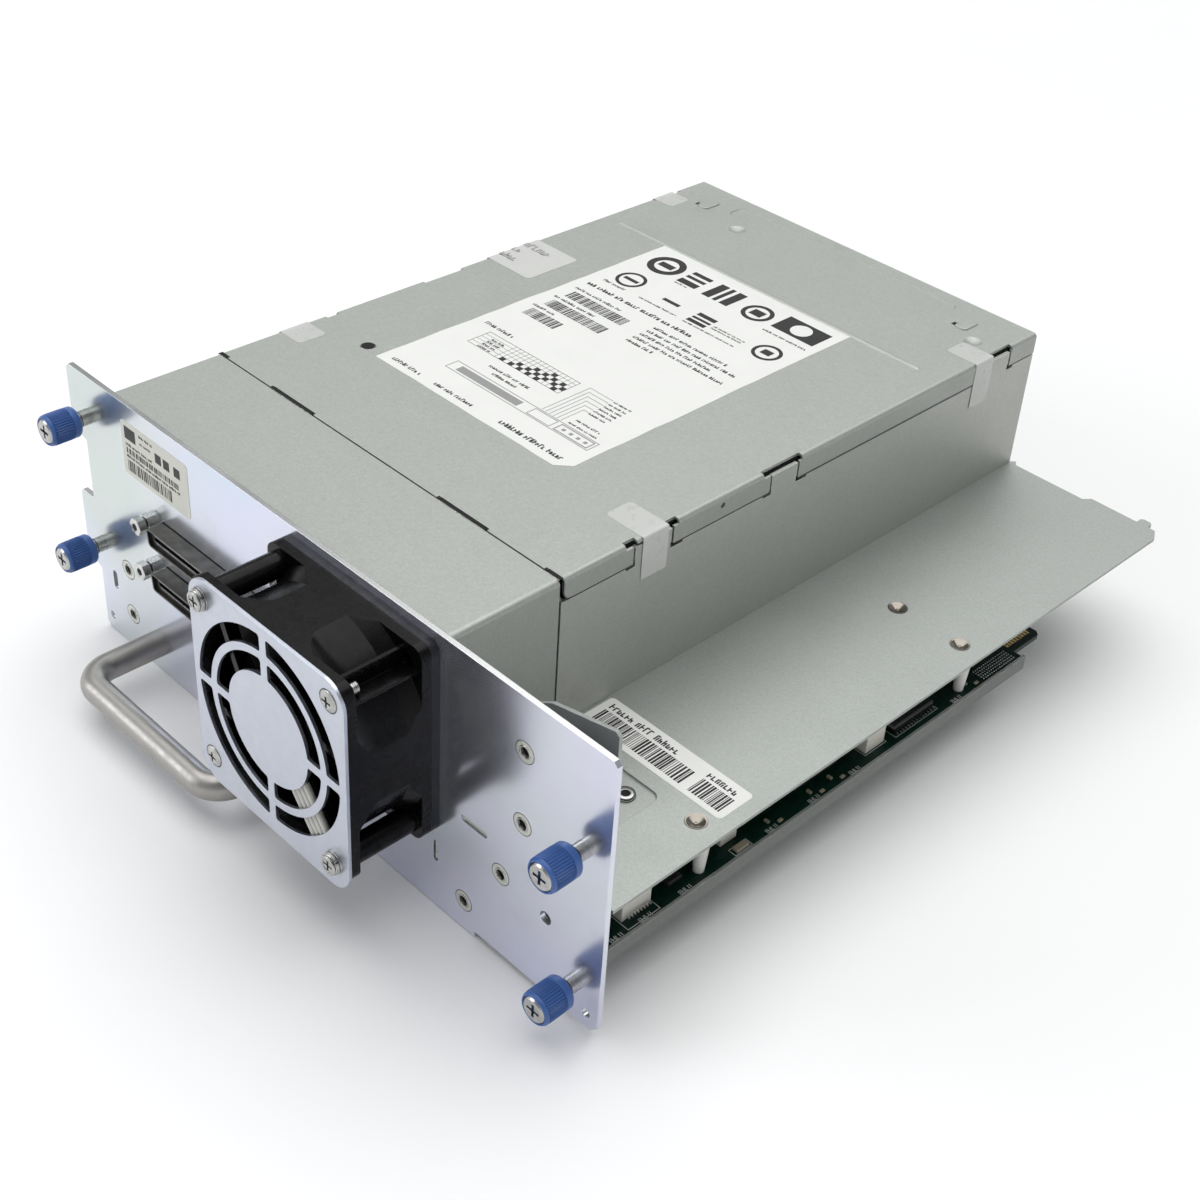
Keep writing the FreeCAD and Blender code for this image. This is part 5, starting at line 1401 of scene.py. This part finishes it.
@dataclass
class BoardDetail(Assembly):
    """Silkscreen, solder dots, contacts and small parts on the controller board's open edge, with painted
    shade between the chip's legs.
    """

    outlines: tuple[tuple[Bar, float], ...] = (
        ((205.2, 16.4, 213.6, 27.6), 0.22), ((204.4, 109.8, 211.6, 119.2), 0.22),
        ((211.2, 54.6, 213.9, 61.2), 0.2), ((202.4, 122.4, 212.4, 141.6), 0.15))
    signs: tuple[float, ...] = (10.5, 20.5, 34.5, 67.0, 84.0, 101.0, 147.0)
    rises: tuple[float, ...] = (0.0, 0.8, 1.7, 2.1, 3.2, 3.9)
    dot: Section = ((0.3, 0.0), (0.24, 0.1), (0.1, 0.16))
    pairs: tuple[float, ...] = (69.5, 86.5, 95.0, 156.0)
    dot_place: Pair = (209.2, 163.0)
    dot_pitch: Pair = (0.95, 1.0)
    dot_count: tuple[int, int] = (5, 16)
    contact_pitch: float = 1.3
    leg_pitch: float = 1.27
    pin_pitch: float = 1.05
    chip: Bar = (203.1, 123.1, 210.9, 140.9)
    chip_corner: float = 0.4

    def build(self) -> None:
        """Make them."""
        self.printed("board_silkscreen", "silk_white", ON_BOARD, self.silk(), 0.0, 0.03)
        dots, (x, y), (x_step, y_step) = Solid(), self.dot_place, self.dot_pitch
        for i in range(self.dot_count[0]):
            for k in range(self.dot_count[1]):
                dots.turned(spot(x + x_step * i, y + y_step * k, BOARD_TOP), Z, self.dot, 10)
        self.put(dots, "board_solder_dots", "solder")
        edge = [(206.4, 180.6 + self.contact_pitch * i, 209.0, 181.5 + self.contact_pitch * i)
                for i in range(9)]
        self.printed("board_edge_contacts", "gold", ON_BOARD, edge, 0.0, 0.04)
        parts = [(211.6, 55.6, 0.0, 1.9, 4.6, 0.9)]
        for y in self.pairs:
            parts += [(210.0, y, 0.0, 1.6, 0.9, 0.6), (212.4, y + 2.6, 0.0, 0.9, 1.6, 0.5)]
        self.bricks("board_small_parts", "part_beige", parts, bevel=0.00008)
        legs = [(211.0, 123.8 + self.leg_pitch * i, 0.0, 0.9, 0.45, 0.35) for i in range(14)]
        self.bricks("board_chip_legs", "solder", legs)
        top = Solid().patch(ON_BOARD, rounded_outline(self.chip, self.chip_corner), 1.6, 0.12)
        self.put(top, "board_chip_top", "chip_grey")
        # Painted shade: black strips on the chip's side in the gaps between its legs.
        leg_gap_shade = [(210.95, 124.2 + self.leg_pitch * i, 211.05, 124.9 + self.leg_pitch * i) for i in range(13)]
        self.printed("board_chip_marks", "shadow_black", ON_BOARD, leg_gap_shade, 0.3, 1.2)
        pins = [(211.0, 18.2 + self.pin_pitch * i, 1.2, 1.0, 0.4, 0.4) for i in range(8)]
        self.bricks("board_socket_pins", "solder", pins)

    def silk(self) -> list[Bar]:
        """Outlines of parts, and small signs that spell nothing beside them.

        Returns:
            The bars.
        """
        bars = [bar for outline, line in self.outlines for bar in framed(outline, line)]
        for y in self.signs:
            bars += [(212.6, y + rise, 213.9, y + rise + 0.22) for rise in self.rises]
            bars += [(212.6 + 0.6 * k, y, 212.8 + 0.6 * k, y + 0.9 + 0.9 * k) for k in range(3)]
        return bars

    def bricks(self, name: str, finish: str, rows: list[tuple[float, ...]], bevel: float = 0.0) -> None:
        """Stand boxes on the board as one piece.

        Args:
            name: The piece's name.
            finish: Its finish.
            rows: For each box its x and y, its height over the board and its size along x, y and z.
            bevel: Width of their rounded edges, in metres.
        """
        solid = Solid()
        for x, y, rise, *size in rows:
            low = spot(x, y, BOARD_TOP + rise)
            solid.block(low, low + Vector(size) * MM)
        self.put(solid, name, finish, bevel=bevel)


# --- picture ---
@dataclass
class Camera:
    """Where the picture is taken from, in the row frame, in metres and degrees."""

    place: Point = (0.304241, -0.322869, 0.345506)
    turn: Point = (55.6655, -3.9612, 44.7198)
    lens: float = 54.105
    sensor: float = 36.0
    shift: Pair = (-0.039575, -0.061260)
    near: float = 0.01

    def build(self) -> None:
        """Make the camera the scene's own."""
        data = bpy.data.cameras.new("camera")
        data.lens = self.lens
        data.sensor_width = self.sensor
        data.shift_x, data.shift_y = self.shift
        data.clip_start = self.near
        made = bpy.data.objects.new("camera", data)
        made.location = self.place
        made.rotation_euler = tuple(math.radians(a) for a in self.turn)
        bpy.context.scene.collection.objects.link(made)
        bpy.context.scene.camera = made


@dataclass
class Lamp:
    """One soft light. Its place, size and aim are in metres and its power in watts."""

    name: str
    place: Point
    size: Pair
    power: float
    colour: RGB = (1.0, 1.0, 1.0)
    aim: Point = (0.0, 0.0, 0.04)

    def build(self) -> None:
        """Make the light."""
        data = bpy.data.lights.new(self.name, "AREA")
        data.shape = "RECTANGLE"
        data.size, data.size_y = self.size
        data.energy = self.power
        data.color = self.colour
        made = bpy.data.objects.new(self.name, data)
        made.location = self.place
        made.rotation_mode = "QUATERNION"
        made.rotation_quaternion = (Vector(self.aim) - Vector(self.place)).to_track_quat("-Z", "Y")
        bpy.context.scene.collection.objects.link(made)


@dataclass
class Sun:
    """The main light: very wide, so that its shadows are soft and the floor is evenly lit."""

    turn: Point = (-12.0, -8.0, 0.0)
    strength: float = 2.45
    spread: float = 75.0

    def build(self) -> None:
        """Make the light."""
        data = bpy.data.lights.new("overhead", "SUN")
        data.energy = self.strength
        data.angle = math.radians(self.spread)
        made = bpy.data.objects.new("overhead", data)
        made.rotation_euler = tuple(math.radians(a) for a in self.turn)
        bpy.context.scene.collection.objects.link(made)


@dataclass
class Studio(Assembly):
    """Pale floor, soft lights and an even surround. The floor's sizes are in metres."""

    half: float = 40.0
    gap: float = 0.0002
    sky: Pair = (0.92, 0.28)
    fade: Pair = (0.02, 0.45)

    def build(self) -> None:
        """Make the floor, the lights and the world."""
        half, mesh = self.half, bpy.data.meshes.new("floor")
        corners = [(-half, -half, 0), (half, -half, 0), (half, half, 0), (-half, half, 0)]
        mesh.from_pydata(corners, [], [(0, 1, 2, 3)])
        floor = bpy.data.objects.new("floor", mesh)
        g = Graph("floor_paint")
        tone = g.blend(g.span(g.noise(3.0, 2.0), 0.3, 0.7), (0.88, 0.88, 0.88), (0.90, 0.90, 0.90))
        mesh.materials.append(g.finish(tone, 0.75))
        floor.location.z = CAD_BOX[0].z - self.gap
        bpy.context.scene.collection.objects.link(floor)
        self.surround()
        Sun().build()
        Lamp("front_left", (-1.1, -1.3, 0.8), (0.9, 0.9), 9.0, (0.96, 0.98, 1.0)).build()

    def surround(self) -> None:
        """Make the world: pale at the level of the eye and dimmer above."""
        world = bpy.data.worlds.new("surround")
        world.use_nodes = True
        tree = world.node_tree
        place = tree.nodes.new("ShaderNodeTexCoord").outputs["Generated"]
        split = tree.nodes.new("ShaderNodeSeparateXYZ")
        tree.links.new(place, split.inputs[0])
        fade = tree.nodes.new("ShaderNodeMapRange")
        for socket, value in zip(fade.inputs[1:5], (*self.fade, *self.sky)):
            socket.default_value = value
        tree.links.new(split.outputs[2], fade.inputs[0])
        background = tree.nodes["Background"]
        background.inputs["Color"].default_value = (0.97, 0.98, 1.0, 1.0)
        tree.links.new(fade.outputs[0], background.inputs["Strength"])
        bpy.context.scene.world = world


def set_view() -> None:
    """Show the colours as they are lit, with a clean white."""
    bpy.context.scene.view_settings.view_transform = "Standard"
    bpy.context.scene.view_settings.look = "None"


def main() -> None:
    """Build the looks in order."""
    logging.basicConfig(level=logging.INFO)
    finishes = {maker.name: maker.build() for maker in MAKERS}
    for kind in (CadFinishes, TopLabel, CoverDressing, ShelfLabel, PanelDressing, CaptiveScrews, BarHandle,
                 FanDressing, Rivets, PanelRings, Receptacles, BoardDetail, Studio):
        kind(finishes).build()
    Camera().build()
    set_view()


if __name__ == "__main__":
    main()
